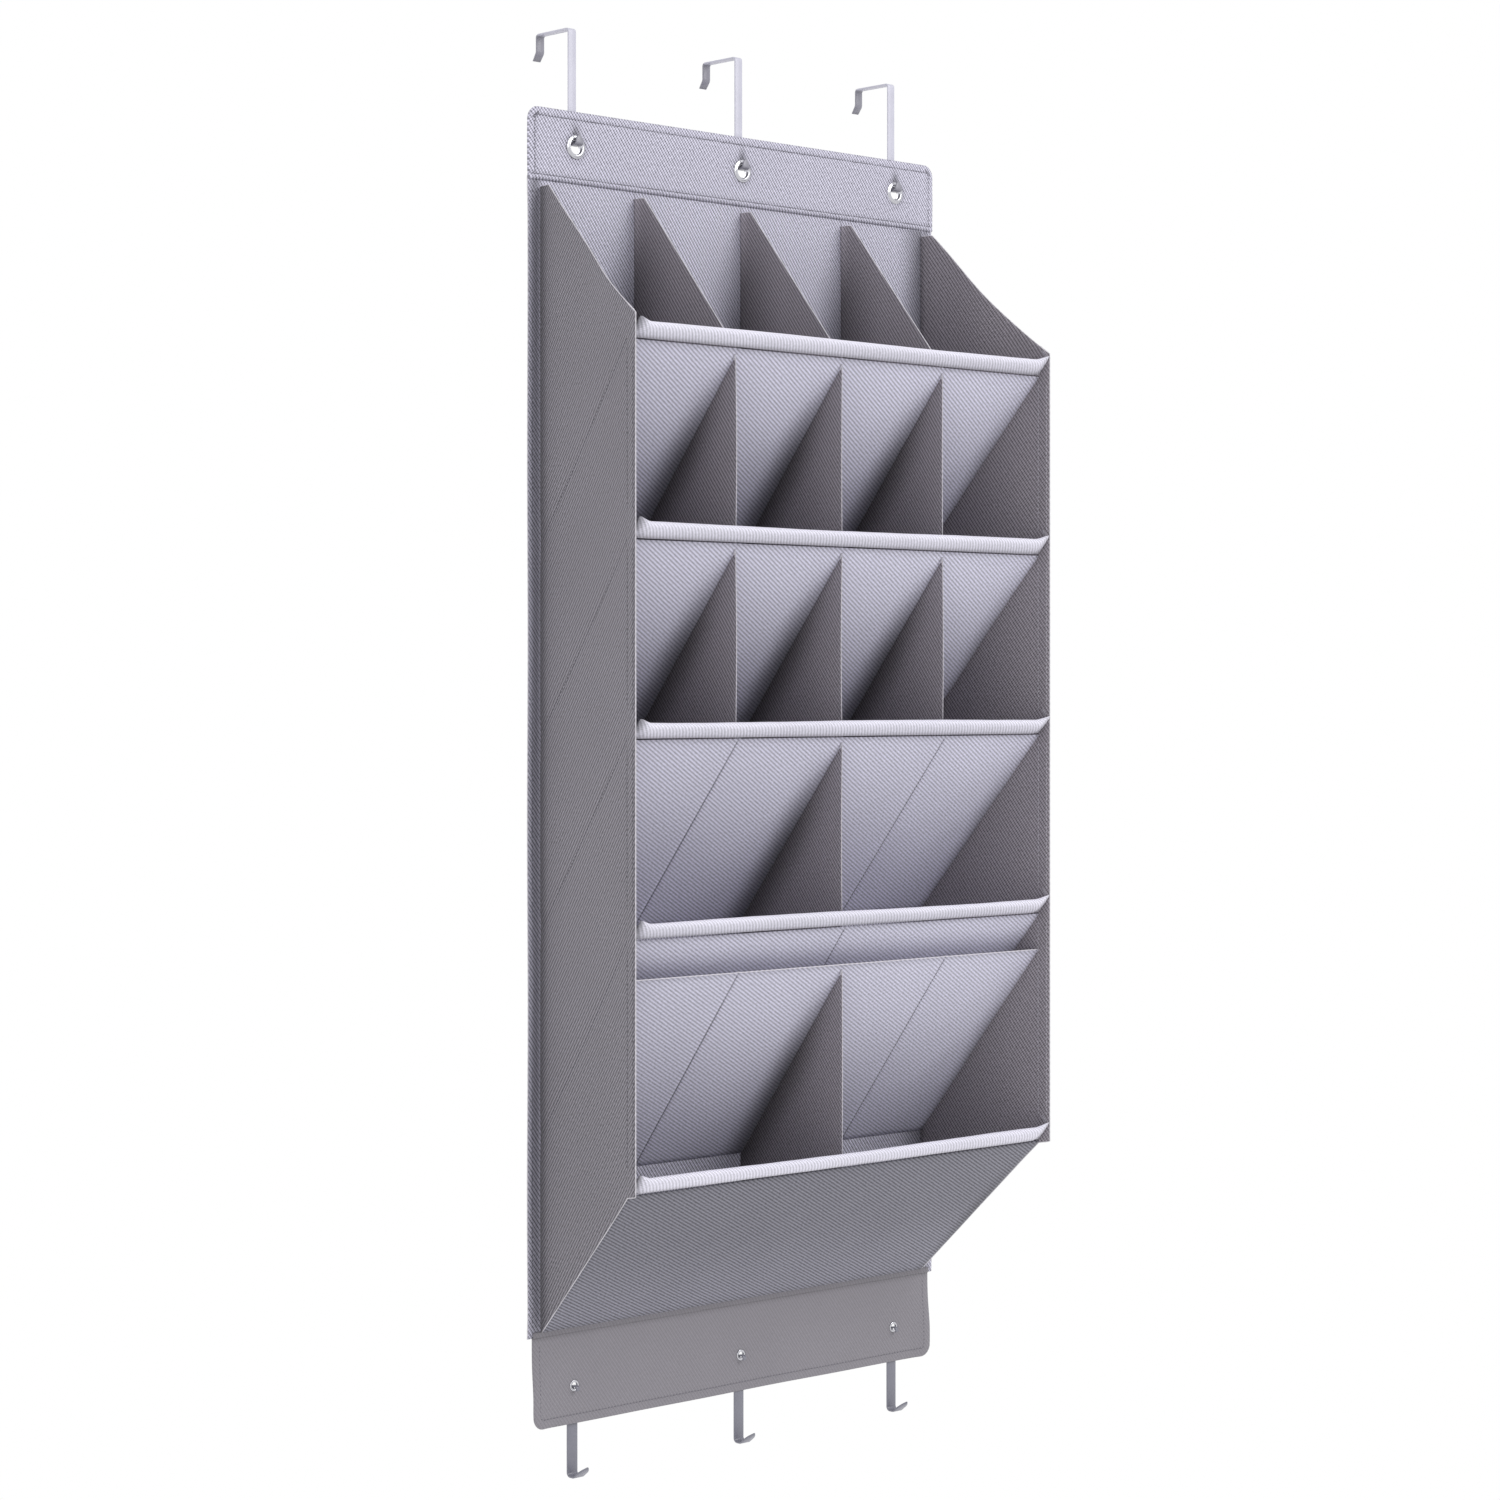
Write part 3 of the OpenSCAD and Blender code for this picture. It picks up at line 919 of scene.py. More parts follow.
@dataclass
class Header:
    """The stiffened band with its rings.

    Attributes:
        layout: Places of the fabric.
        corner: Radius of the upper corners.
        edge_seam: Distance of the stitched line from the edge.
        hole: Radius of the hole in the cloth.
        foot_seam: Distance of the lower stitched line from the lower edge.
    """

    layout: Layout
    corner: float = 12 * MM
    edge_seam: float = 7 * MM
    hole: float = 8.4 * MM
    foot_seam: float = 4 * MM

    def __post_init__(self) -> None:
        """Reads the band's box and its ring centres."""
        low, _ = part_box("header_front")
        _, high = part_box("header_rear")
        self.low, self.high = low, high
        self.half = high.x
        self.rings = [middle_of(f"grommet_{p}") for p in PLACES]

    def half_at(self, z: np.ndarray) -> np.ndarray:
        """Half the band's width at a height, less in the rounded corners."""
        up = np.clip(z - (self.high.z - self.corner), 0, self.corner)
        return self.half - self.corner + np.sqrt(np.maximum(self.corner**2 - up**2, 0))

    def band(self) -> bpy.types.Object:
        """Builds the band: cloth folded round a board, quilted along its edges.

        Returns:
            The object.
        """
        spots = [(c.x, c.z) for c in self.rings]
        beside = around([c for c, _ in spots], 14 * MM, 1.8 * MM)
        xs = steps(-1, 1, 4 * MM / self.half, *[s / self.half for s in beside])
        seams = [self.edge_seam, self.edge_seam + 1 * MM, self.edge_seam - 1 * MM]
        zs = steps(
            self.low.z, self.high.z - 0.02 * MM, 4 * MM,
            *around([spots[0][1]], 14 * MM, 1.8 * MM),
            *[self.high.z - s for s in seams],
            *[self.low.z + s for s in (2 * MM, 3 * MM, 4 * MM, 5 * MM)],
            *[self.high.z - self.corner * (1 - math.sin(a)) for a in np.linspace(0.2, 1.5, 8)],
        )
        a, z = np.meshgrid(xs, zs, indexing="ij")
        x = a * self.half_at(z)
        x, z, keep = round_holes(x, z, spots, self.hole)
        edge = np.minimum(self.half_at(z) - np.abs(x), self.high.z - z)
        edge = np.minimum(edge, z - self.low.z + self.edge_seam)
        foot = self.low.z + self.foot_seam
        thick = (self.high.y - self.low.y) * (0.55 + 0.45 * smooth(edge / (3 * MM)))
        thick -= 0.9 * MM * ridge(edge, self.edge_seam, 1.6 * MM)
        thick -= 0.9 * MM * ridge(z, foot, 1.4 * MM)
        pucker = 0.35 * MM * np.sin(x * 310) * ridge(edge, self.edge_seam * 0.6, 9 * MM)
        pucker *= np.sin(z * 160 + x * 40)
        slow = 0.5 * MM * np.sin(x * 21 + 0.6) * np.sin((z - self.low.z) * 46)
        y = (self.low.y + self.high.y) / 2 + pucker + slow
        # Painted shade along the stitched lines and round each ring, and a painted shadow of the hook's tip
        # above each ring.
        shade = 1 - 0.22 * ridge(edge, self.edge_seam, 1.5 * MM) - 0.25 * ridge(z, foot, 1.4 * MM)
        for cx, cz in spots:
            above = np.exp(-(((x - cx) / (4.5 * MM)) ** 2) - ((z - cz - 15 * MM) / (7 * MM)) ** 2)
            round_it = np.exp(-((np.hypot(x - cx, z - cz) - 12 * MM) / (2.4 * MM)) ** 2)
            shade = shade - 0.5 * above * (z > cz) - 0.2 * round_it
        # Rows run across and columns run up, so that the front layer faces the front
        sheet = Sheet(
            "header_band", np.stack([x, y, z], -1), np.stack([x, z], -1), thick, shade, keep,
            ("front", "front", "front"),
        )
        obj = settle(sheet.build(), "header", "front", "header_front", "header_board", "header_rear")
        return obj

    def ring(self, place: str, centre: Vector) -> None:
        """Builds one polished ring, with its washer behind the band.

        Args:
            place: Name of its place.
            centre: Middle of the ring.
        """
        low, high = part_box(f"grommet_{place}")
        rim = (high.x - low.x) / 2
        front, back = low.y - centre.y, high.y - centre.y
        profile = [
            (6.5 * MM, back), (6.5 * MM, front + 1.6 * MM), (6.8 * MM, front + 0.5 * MM),
            (7.6 * MM, front - 0.3 * MM), (8.6 * MM, front - 0.4 * MM), (9.4 * MM, front),
            (9.9 * MM, front + 0.5 * MM), (10.5 * MM, front + 0.3 * MM),
            (rim - 0.2 * MM, front + 0.6 * MM), (rim, front + 1.0 * MM), (rim - 0.1 * MM, front + 1.5 * MM),
            (9.2 * MM, front + 1.3 * MM), (7.3 * MM, front + 1.5 * MM), (7.3 * MM, back),
        ]
        settle(lathe(f"ring_{place}", centre, profile, "plate"), "header", "plate", f"grommet_{place}")
        low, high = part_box(f"washer_{place}")
        outer = (high.x - low.x) / 2
        front, back = low.y - centre.y, high.y - centre.y
        profile = [
            (7.4 * MM, front), (7.4 * MM, back - 0.2 * MM), (7.8 * MM, back), (9.2 * MM, back),
            (outer - 0.2 * MM, back - 0.25 * MM), (outer, front + 0.35 * MM), (outer - 0.2 * MM, front),
        ]
        settle(lathe(f"ring_washer_{place}", centre, profile, "plate"), "header", "plate", f"washer_{place}")

    def corner_line(self, side: int, y: float) -> list[tuple[float, float, float]]:
        """Leads the edge's stitched line round an upper corner.

        Args:
            side: -1 for the left corner, 1 for the right.
            y: Depth of the line.

        Returns:
            Points from the corner's inner end to its outer end.
        """
        inset, top = self.half - self.edge_seam, self.high.z - self.edge_seam
        radius = self.corner - self.edge_seam
        return [
            (side * (inset - radius + radius * math.sin(t)), y, top - radius + radius * math.cos(t))
            for t in np.linspace(0, math.pi / 2, 5)
        ]

    def sew(self) -> None:
        """Builds the band's stitched lines and corner tacks."""
        face, rear = self.low.y - 0.1 * MM, self.high.y + 0.1 * MM
        groove = 0.35 * MM
        foot = self.low.z + self.foot_seam
        inset, end = self.half - self.edge_seam, self.half - 2 * MM
        rows = Stitching("header_stitches", "header", "thread", 2.6 * MM, 3.6 * MM, 0.28 * MM)
        for y, out in ((face + groove, (0, -1, 0)), (rear - groove, (0, 1, 0))):
            left, right = self.corner_line(-1, y), self.corner_line(1, y)
            rows.row([(-inset, y, foot), *reversed(left), *right, (inset, y, foot)], out)
            rows.row([(-end, y, foot), (end, y, foot)], out)
        for s in SIDES:
            spot = (s * (self.half - 8 * MM), face + 0.2 * MM, self.high.z - 7 * MM)
            rows.tack(spot, (s, 0, -0.8), (0, -1, 0), 8 * MM)
        rows.build()

    def build(self) -> None:
        """Builds the whole header."""
        self.band()
        for place, centre in zip(PLACES, self.rings):
            self.ring(place, centre)
        self.sew()


@dataclass
class Back:
    """The back fabric, from the bottom seam up to the header seam.

    Attributes:
        layout: Places of the fabric.
        half: Half its width.
        quarters: Where dividers meet it.
    """

    layout: Layout
    half: float = 273 * MM
    quarters: tuple[float, ...] = QUARTERS

    def shade(self, x: np.ndarray, z: np.ndarray) -> np.ndarray:
        """Paints shade into the corners beside the dividers and along the side panels, with a thin dark line
        along each divider's seam.

        Args:
            x: Places across the fabric.
            z: Heights.

        Returns:
            The painted shade of each point.
        """
        at = self.layout
        shade = np.ones(x.shape)
        tier = z > at.lips[0] - 10 * MM
        down = smooth((at.fold - 30 * MM - z) / (130 * MM))
        for q in self.quarters:
            left = np.clip((q - x) / (46 * MM), 0, 1)
            beside = (x <= q) & (z < at.fold) & tier
            shade = np.where(beside, shade * (1 - 0.62 * (1 - smooth(left)) * down), shade)
            shade = shade * (1 - 0.4 * ridge(x, q, 1.2 * MM) * tier)
        # Painted shade beside the right side panel, and on the strips along both side panels' seams, darker
        # still on the left.
        near = smooth((258 * MM - x) / (40 * MM))
        beside = (z < at.fold) & (x > 200 * MM) & (x < 259 * MM)
        shade = np.where(beside, shade * (0.45 + 0.55 * near), shade)
        reach = np.abs(x)
        seam = smooth((reach - 256 * MM) / (6 * MM)) * (1 - smooth((reach - 264 * MM) / (9 * MM)))
        shade = shade * (1 - 0.45 * seam)
        return shade * np.where(x < -256 * MM, 0.85, 1.0)

    def panel(self) -> bpy.types.Object:
        """Builds the fabric, with close rows at the header seam.

        Returns:
            The object.
        """
        at = self.layout
        lines = [s * q * MM for s in SIDES for q in (258, 262, 266, 139, 141, 1)]
        xs = steps(-self.half, self.half, 7 * MM, *lines)
        bend = [at.fold + k * 0.6 * MM for k in range(-8, 5)]
        across = around(at.lips[1:], 2 * MM, 1 * MM)
        zs = steps(at.base + 0.9 * MM, at.fold + 2.6 * MM, 7 * MM, *across, *bend)
        x, z = np.meshgrid(xs, zs, indexing="ij")
        loose = smooth((at.fold - z) / (30 * MM)) * smooth((z - at.base) / (30 * MM))
        y = at.panel + 0.35 * MM * np.sin(x * 23 + 1.0) * np.sin(z * 17) * loose
        free = smooth((np.abs(x) - 259 * MM) / (10 * MM))
        y = y - 1.2 * MM * free * np.sin(z * 9 + 0.7) ** 2 * loose
        sheet = Sheet(
            "back_cloth", np.stack([x, y, z], -1), np.stack([x, z], -1), at.skin, self.shade(x, z), None,
            ("front", "front", "edge"),
        )
        obj = sheet.build()
        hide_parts("back_panel")
        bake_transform(obj)
        LOG.info("back_cloth bends between header and pockets, %d faces", len(obj.data.polygons))
        return obj

    def sew(self) -> None:
        """Builds the stitched lines across the fabric, behind the dividers and along its edges."""
        at = self.layout
        rows = Stitching("back_stitches", "pockets", "dark_thread", 3.0 * MM, 4.4 * MM, 0.3 * MM)
        rear, front = at.rear + 0.1 * MM, at.rear - at.skin - 0.3 * MM
        for z in at.lips[1:]:
            rows.row([(-262 * MM, rear, z), (262 * MM, rear, z)], (0, 1, 0))
        tiers = zip((at.fold - 9 * MM, *at.lips[1:]), (*at.lips[1:], at.base + 20 * MM))
        for k, (high, low) in enumerate(tiers):
            for q in self.quarters if k < 3 else (0.0,):
                rows.row([(q, rear, high - 2 * MM), (q, rear, low + 2 * MM)], (0, 1, 0))
        top, foot = at.fold - 8 * MM, at.base + 8 * MM
        for s in SIDES:
            rows.row([(s * 259 * MM, rear, top), (s * 259 * MM, rear, foot)], (0, 1, 0))
            rows.row([(s * 268 * MM, front, top), (s * 268 * MM, front, foot)], (0, -1, 0))
        rows.build()

    def build(self) -> None:
        """Builds the fabric and its stitching."""
        self.panel()
        self.sew()


@dataclass
class Sides:
    """The two side panels, hemmed along their front edges.

    Attributes:
        layout: Places of the fabric.
        shoulder: Length of the level part of the upper edge, at the back.
        hem: Width of the front hem.
        rise: Height of the front end of the upper edge over the first lip's seam.
        scoop: Depth of the upper edge's hollow.
        slot_fall: How far the slot's sheet falls from the fourth lip's seam to its rear end.
    """

    layout: Layout
    shoulder: float = 14 * MM
    hem: float = 13 * MM
    rise: float = 21.5 * MM
    scoop: float = 7 * MM
    slot_fall: float = 194 * MM

    def rear_ends(self) -> tuple[float, ...]:
        """Heights of the rear ends of the sheets sewn to a panel, from the top."""
        at = self.layout
        return (*at.lips[1:4], at.lips[3] - self.slot_fall, at.base)

    def top(self, y: np.ndarray) -> np.ndarray:
        """Finds the upper edge, scooped a little towards the front.

        Args:
            y: Depths.

        Returns:
            Its heights.
        """
        at = self.layout
        start, end = at.inner - self.shoulder, at.front
        high, low = at.fold - 6 * MM, at.lips[0] + self.rise
        t = np.clip((start - y) / (start - end), 0, 1)
        return high + (low - high) * t - self.scoop * np.sin(math.pi * t ** 1.3)

    def bottom(self, y: np.ndarray) -> np.ndarray:
        """Finds the lower edge, under the bottom panel.

        Args:
            y: Depths.

        Returns:
            Its heights.
        """
        at = self.layout
        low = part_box("side_panel_left")[0].z
        start = at.lips[4] - 2.2 * MM
        t = np.clip((y - at.seam) / (at.inner - at.seam), 0, 1)
        lead = np.clip((y - at.front) / (at.seam - at.front), 0, 1)
        return at.lips[4] + (start - at.lips[4]) * lead + (low - start) * t

    def middle(self, y: np.ndarray, z: np.ndarray) -> np.ndarray:
        """Distance of a panel's middle surface from the centre plane.

        Args:
            y: Depths.
            z: Heights.

        Returns:
            The distance, which bulges and is drawn in at each sewn sheet.
        """
        at = self.layout
        deep = np.clip((y - at.front) / (at.inner - at.front), 0, 1)
        slant = np.clip((y - at.seam) / (at.inner - at.seam), 0, 1)
        drawn = 0.0
        for lip, low in zip(at.lips, self.rear_ends()):
            seam = np.exp(-(((z - lip - (low - lip) * slant) / (14 * MM)) ** 2))
            drawn = drawn + 0.6 * MM * seam * smooth(slant * 8)
        wave = 0.9 * MM * np.sin((z - at.base) / (at.fold - at.base) * math.pi * 5 + 0.4)
        loose = 1.6 * MM * np.sin(deep * 9) * smooth((z - at.lips[0]) / (60 * MM))
        return at.outside(y) - drawn + (wave + loose - 1.4 * MM) * np.sin(math.pi * deep)

    def thick(self, y: np.ndarray) -> np.ndarray:
        """Finds the thickness of a panel, double in its hem.

        Args:
            y: Depths.

        Returns:
            The thickness.
        """
        at = self.layout
        hem_y = at.front + self.hem
        double = 0.7 * MM * (1 - smooth((y - hem_y) / (1.2 * MM)))
        return at.skin + double - 0.5 * MM * ridge(y, hem_y, 1.3 * MM)

    def panel(self, side: int) -> bpy.types.Object:
        """Builds one panel.

        Args:
            side: -1 for the left panel, 1 for the right.

        Returns:
            The object.
        """
        at = self.layout
        hem_y = at.front + self.hem
        ys = steps(
            at.front, at.inner, 6 * MM, hem_y, hem_y + 1 * MM, hem_y - 1 * MM, at.seam, at.front + 3 * MM,
            at.inner - self.shoulder, at.inner - 6 * MM,
        )
        y, t = np.meshgrid(ys, np.linspace(0, 1, 190), indexing="ij")
        low, high = self.bottom(y), self.top(y)
        z = low + (high - low) * t
        x = side * self.middle(y, z)
        thick = self.thick(y) * (1 - 0.35 * (1 - smooth((y - at.front) / (1.5 * MM))))
        # Painted shade along the hem's line and near the rear edge, and a little darker towards the bottom.
        shade = np.ones(y.shape) * (1 - 0.1 * ridge(y, hem_y, 1.5 * MM))
        shade *= 1 - 0.28 * smooth((y - (at.inner - 15 * MM)) / (13 * MM))
        shade *= 1 - 0.06 * smooth((at.lips[2] - z) / (500 * MM))
        points = np.stack([x, y, z], -1)
        uv = np.stack([-side * y, z], -1)
        if side < 0:
            points, uv, thick, shade = (v[::-1] for v in (points, uv, thick, shade))
        name = "left" if side < 0 else "right"
        keys = ("side", "divider", "edge")
        sheet = Sheet(f"side_cloth_{name}", points, uv, thick, shade, None, keys)
        obj = settle(sheet.build(), "pockets", "side", f"side_panel_{name}")
        rear = np.array([at.inner])
        tall = self.top(rear)[0] - self.bottom(rear)[0]
        area = float(np.trapz(self.top(ys) - self.bottom(ys), ys))
        return obj

    def sew(self) -> None:
        """Builds the hem lines, the slanted seams of the sheets and the corner tacks."""
        at = self.layout
        rows = Stitching("side_stitches", "pockets", "dark_thread", 2.8 * MM, 4.2 * MM, 0.26 * MM)
        light = Stitching("hem_stitches", "pockets", "pale_thread", 2.6 * MM, 4.0 * MM, 0.3 * MM)
        for s in SIDES:
            for lip, low in zip(at.lips[:4], self.rear_ends()):
                ys = np.linspace(at.seam, at.inner - 4 * MM, 40)
                zs = lip + (low - lip) * (ys - at.seam) / (at.inner - at.seam)
                rows.row(self.line(s, 1, ys, zs), (s, 0, 0))
            for inset in (self.hem, 3.2 * MM):
                for upper, lower in zip(at.lips, at.lips[1:]):
                    zs = np.linspace(upper - 8 * MM, lower + 24 * MM, 60)
                    ys = np.full(60, at.front + inset)
                    light.row(self.line(s, -1, ys, zs), (-s, 0, 0))
                    rows.row(self.line(s, 1, ys, zs), (s, 0, 0))
            for lip in at.lips:
                spot = self.line(s, -1, np.array([at.front + 6 * MM]), np.array([lip + 22 * MM]))[0]
                light.tack(spot, (0, 0.7, 1), (-s, 0, 0), 7 * MM)
        rows.build()
        light.build()

    def line(self, side: int, face: int, ys: np.ndarray, zs: np.ndarray) -> list[tuple[float, float, float]]:
        """Puts a line on a panel's face.

        Args:
            side: -1 for the left panel.
            face: 1 for its outer face, -1 for its inner one.
            ys: Depths along the line.
            zs: Heights along the line.

        Returns:
            Points on the face.
        """
        xs = side * (self.middle(ys, zs) + face * (self.thick(ys) / 2 + 0.05 * MM))
        return list(zip(xs, ys, zs))

    def build(self) -> None:
        """Builds both panels and their stitching."""
        for side in SIDES:
            self.panel(side)
        self.sew()


@dataclass
class Slope:
    """One sloping sheet of the pockets.

    Attributes:
        node: CAD node it replaces.
        name: Name of the piece.
        finish: Key of its finish.
        seams: Where dividers or stitched lines cross it, in metres from the middle.
        creases: Where a divider hangs below it, so that its left side is in shade.
        sag: Depth of the sag between seams.
        lines: Where stitched lines run down it.
    """

    node: str
    name: str
    finish: str
    seams: tuple[float, ...]
    creases: tuple[float, ...]
    sag: float = 2.6 * MM
    lines: tuple[float, ...] = ()

    def build(self, at: Layout, sides: Sides, rows: Stitching) -> None:
        """Builds the sheet, sagging between its seams.

        Args:
            at: Places of the fabric.
            sides: The side panels that it meets.
            rows: Stitching that its lines are added to.
        """
        low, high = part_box(self.node)
        drop = at.skin * math.hypot(1, (high.z - low.z) / (at.inner - at.seam))
        z0, z1 = high.z - drop / 2, low.z + drop / 2
        length = math.hypot(at.inner - at.seam, z0 - z1)
        widest = float(at.inside(np.array(at.seam)))
        spots = (*self.seams, *self.creases)
        fine = [(c + d * MM) / widest for c in spots for d in (-3, -1.5, 0, 1.5, 3)]
        us = steps(-1, 1, 6 * MM / widest, *fine)
        vs = steps(0, 1, 6 * MM / length, 1.5 * MM / length, 3 * MM / length, 6 * MM / length)
        u, v = np.meshgrid(us, vs, indexing="ij")
        y = at.seam + (at.inner - at.seam) * v
        z = z0 + (z1 - z0) * v
        flat = 150 * MM
        reach = np.abs(u) * widest
        edge = sides.middle(y, z) - sides.thick(y) / 2 - 0.05 * MM
        squeeze = (edge - flat) / (widest - flat)
        x = np.sign(u) * np.where(reach > flat, flat + (reach - flat) * squeeze, reach)
        bays = sorted({-at.half, *self.seams, *self.creases, at.half})
        belly = np.zeros(u.shape)
        for a, b in zip(bays, bays[1:]):
            t = np.clip((x - a) / (b - a), 0, 1)
            belly = np.where((x >= a) & (x <= b), np.sin(math.pi * t) ** 0.8, belly)
        ends = np.sin(math.pi * np.clip(v * 1.04 - 0.02, 0, 1)) ** 0.7
        ripple = 0.5 * MM * np.sin(x * 90 + v * 6) * np.sin(v * 14 + x * 20) * ends
        sink = self.sag * belly * ends + ripple * belly
        for s in self.lines:
            sink = sink - 0.7 * MM * ridge(x, s, 3 * MM)
        for c in self.creases:
            pull = np.exp(-(((x - c) / (9 * MM)) ** 2)) * np.exp(-v * length / (22 * MM))
            sink = sink - 1.3 * MM * pull * smooth(v * length / (3 * MM))
        nrm = Vector((0, z1 - z0, -(at.inner - at.seam))).normalized()
        y, z = y + nrm.y * sink, z + nrm.z * sink
        # Painted light: paler towards the rear and to the right. Painted shade: left of each divider's crease
        # and near the right side, along the stitched lines, under the lip at the front and at the rear end.
        shade = 1 + 0.28 * smooth((v - 0.35) / 0.65) + 0.05 * (x / at.half)
        for c in (*self.creases, at.half):
            near = np.where(x <= c + 0.5 * MM, 1 - smooth((c - x) / (40 * MM)), 0.0)
            shade *= 1 - 0.74 * near * smooth(v / 0.6)
        for s in self.lines:
            shade *= 1 - 0.35 * ridge(x, s, 1.6 * MM)
        shade *= 1 - 0.3 * np.exp(-v * length / (3 * MM)) - 0.1 * smooth((v - 0.93) * 14)
        points = np.stack([x, y, z], -1)[:, ::-1]
        turned = math.radians(23)
        run = -v * length
        along, across = math.cos(turned), math.sin(turned)
        uv = np.stack([x * along + run * across, run * along - x * across], -1)[:, ::-1]
        keys = (self.finish, self.finish, "edge" if self.node == "slot_sheet" else self.finish)
        sheet = Sheet(self.name, points, uv, at.skin, shade[:, ::-1], None, keys)
        obj = settle(sheet.build(), "pockets", self.finish, self.node)
        for s in self.lines:
            down = np.linspace(0.01, 0.985, 30)
            rows.row([(s, at.seam + (at.inner - at.seam) * t, z0 + (z1 - z0) * t) for t in down], nrm)


@dataclass
class Pockets:
    """The sheets, dividers and lips that make the pockets.

    Attributes:
        layout: Places of the fabric.
        quarters: Where the dividers stand across the rack.
        lip_length: Length of a lip from its seam to its rim.
        lip_full: Half the thickness of a lip.
        lean: How far a lip leans forward.
    """

    layout: Layout
    quarters: tuple[float, ...] = QUARTERS
    lip_length: float = 20 * MM
    lip_full: float = 4.3 * MM
    lean: float = math.radians(45)

    def sheets(self) -> None:
        """Builds the six sloping sheets."""
        q, at = self.quarters, self.layout
        rows = Stitching("sheet_stitches", "pockets", "dark_thread", 3.0 * MM, 4.2 * MM, 0.26 * MM)
        for slope in (
            Slope("pocket_sheet_1", "sheet_cloth_1", "sheet", (), q),
            Slope("pocket_sheet_2", "sheet_cloth_2", "sheet", (), q),
            Slope("pocket_sheet_3", "sheet_cloth_3", "sheet", (q[0], q[2]), (0.0,), 2.4 * MM, (q[0], q[2])),
            Slope("pocket_sheet_4", "sheet_cloth_4", "sheet", (0.0,), (), 2.0 * MM, (0.0,)),
            Slope("slot_sheet", "slot_cloth", "sheet", (q[0], q[2]), (0.0,), 2.4 * MM, (q[0], q[2])),
            Slope("bottom_panel", "bottom_cloth", "under", (), (), 2.5 * MM),
        ):
            slope.build(at, Sides(at), rows)
        rows.build()

    def under(self, tier: int, rear: float) -> Callable[[np.ndarray], np.ndarray]:
        """Finds the lower edge of a tier's dividers, on the tier's sheet.

        Args:
            tier: The tier, from 1 at the top.
            rear: Height of the edge at the back.

        Returns:
            The height of the edge as a function of depth.
        """
        at, lip = self.layout, self.layout.lips[tier - 1]

        def edge(y: np.ndarray) -> np.ndarray:
            """Height of the edge at depth y."""
            return lip + (rear - lip) * (y - at.seam) / (at.inner - at.seam)

        return edge

    def over(self, tier: int, low: Vector, high: Vector) -> Callable[[np.ndarray], np.ndarray]:
        """Finds the upper edge of a tier's dividers: free in the first tier, or along the sheet above.

        Args:
            tier: The tier, from 1 at the top.
            low: Lower corner of the divider's box.
            high: Upper corner of the divider's box.

        Returns:
            The height of the edge as a function of depth.
        """
        at = self.layout
        if tier == 1:
            start, tip = high.y - 14 * MM, at.lips[0] + 0.3 * MM

            def edge(y: np.ndarray) -> np.ndarray:
                """Height of the free edge at depth y."""
                return high.z + (tip - high.z) * np.clip((start - y) / (start - low.y), 0, 1)

            return edge
        sheet_low, sheet_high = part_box("slot_sheet" if tier == 5 else f"pocket_sheet_{tier - 1}")
        depth = at.inner - at.seam
        drop = at.skin * math.hypot(1, (sheet_high.z - sheet_low.z) / depth)

        def edge(y: np.ndarray) -> np.ndarray:
            """Height of the sheet's lower face at depth y."""
            return sheet_high.z - drop + (sheet_low.z + drop - sheet_high.z) * (y - at.seam) / depth

        return edge

    def divider(self, tier: int, place: str, x0: float, rows: Stitching) -> None:
        """Builds one divider: an upright sheet with a pale front edge.

        Args:
            tier: Tier it stands in, from 1 at the top.
            place: Name of its place.
            x0: Where it stands across the rack.
            rows: Stitching that its tack is added to.
        """
        lip = self.layout.lips[tier - 1]
        node = f"divider_{tier}_{place}"
        low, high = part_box(node)
        front, back = low.y, high.y
        foot, top = self.under(tier, low.z), self.over(tier, low, high)
        ys = steps(front, back, 5 * MM, front + 1.5 * MM, front + 3 * MM, back - 2 * MM)
        y, t = np.meshgrid(ys, np.linspace(0, 1, 46), indexing="ij")
        z = foot(y) + 0.4 * MM + (top(y) - foot(y) - 0.8 * MM) * t
        deep = (y - front) / (back - front)
        rise = np.sin(math.pi * t)
        wave = np.sin(x0 * 31 + tier * 1.7)
        lean = math.cos(x0 * 17 + tier)
        x = x0 + (1.6 * wave + 0.6) * MM * np.sin(math.pi * deep) * rise
        x = x + 1.4 * MM * rise * (1 - smooth(deep * 2.2)) * lean
        thick = self.layout.skin * (1 - 0.3 * (1 - smooth(deep * 20)))
        # Painted shade: darker under the sheet above and towards the back; in the first tier darker low at
        # the back, and paler near the top of its rear edge.
        shade = np.ones(y.shape)
        if tier > 1:
            below = smooth((top(y) - z) / (60 * MM))
            shade *= 1 - 0.55 * (1 - below) * smooth(deep / 0.5)
            shade *= 1 - 0.2 * smooth(deep)
        else:
            shade *= 1 - 0.45 * smooth((deep - 0.55) / 0.45) * (1 - smooth((z - lip - 70 * MM) / (90 * MM)))
            shade *= 1 + 0.45 * smooth((deep - 0.9) * 10) * smooth((z - lip - 60 * MM) / (80 * MM))
        points, uv = np.stack([x, y, z], -1), np.stack([-y, z], -1)
        # The rows are turned round so that the front layer faces left
        sheet = Sheet(
            f"divider_cloth_{tier}_{place}", points[::-1], uv[::-1], thick[::-1], shade[::-1], None,
            ("divider", "divider", "edge"), True,
        )
        obj = settle(sheet.build(), "pockets", "divider", node)
        area = float(np.trapz(top(ys) - foot(ys), ys))
        tall = float(top(ys).max() - foot(ys).min())
        area = max(area, 0.31 * (back - front) * tall)
        if tier > 1:
            apex = (x0 - 1.0 * MM, front + 0.5 * MM, float(top(np.array([front]))[0]) - 1 * MM)
            rows.tack(apex, (0, 0.4, -1), (-0.7, -0.7, 0), 5 * MM)

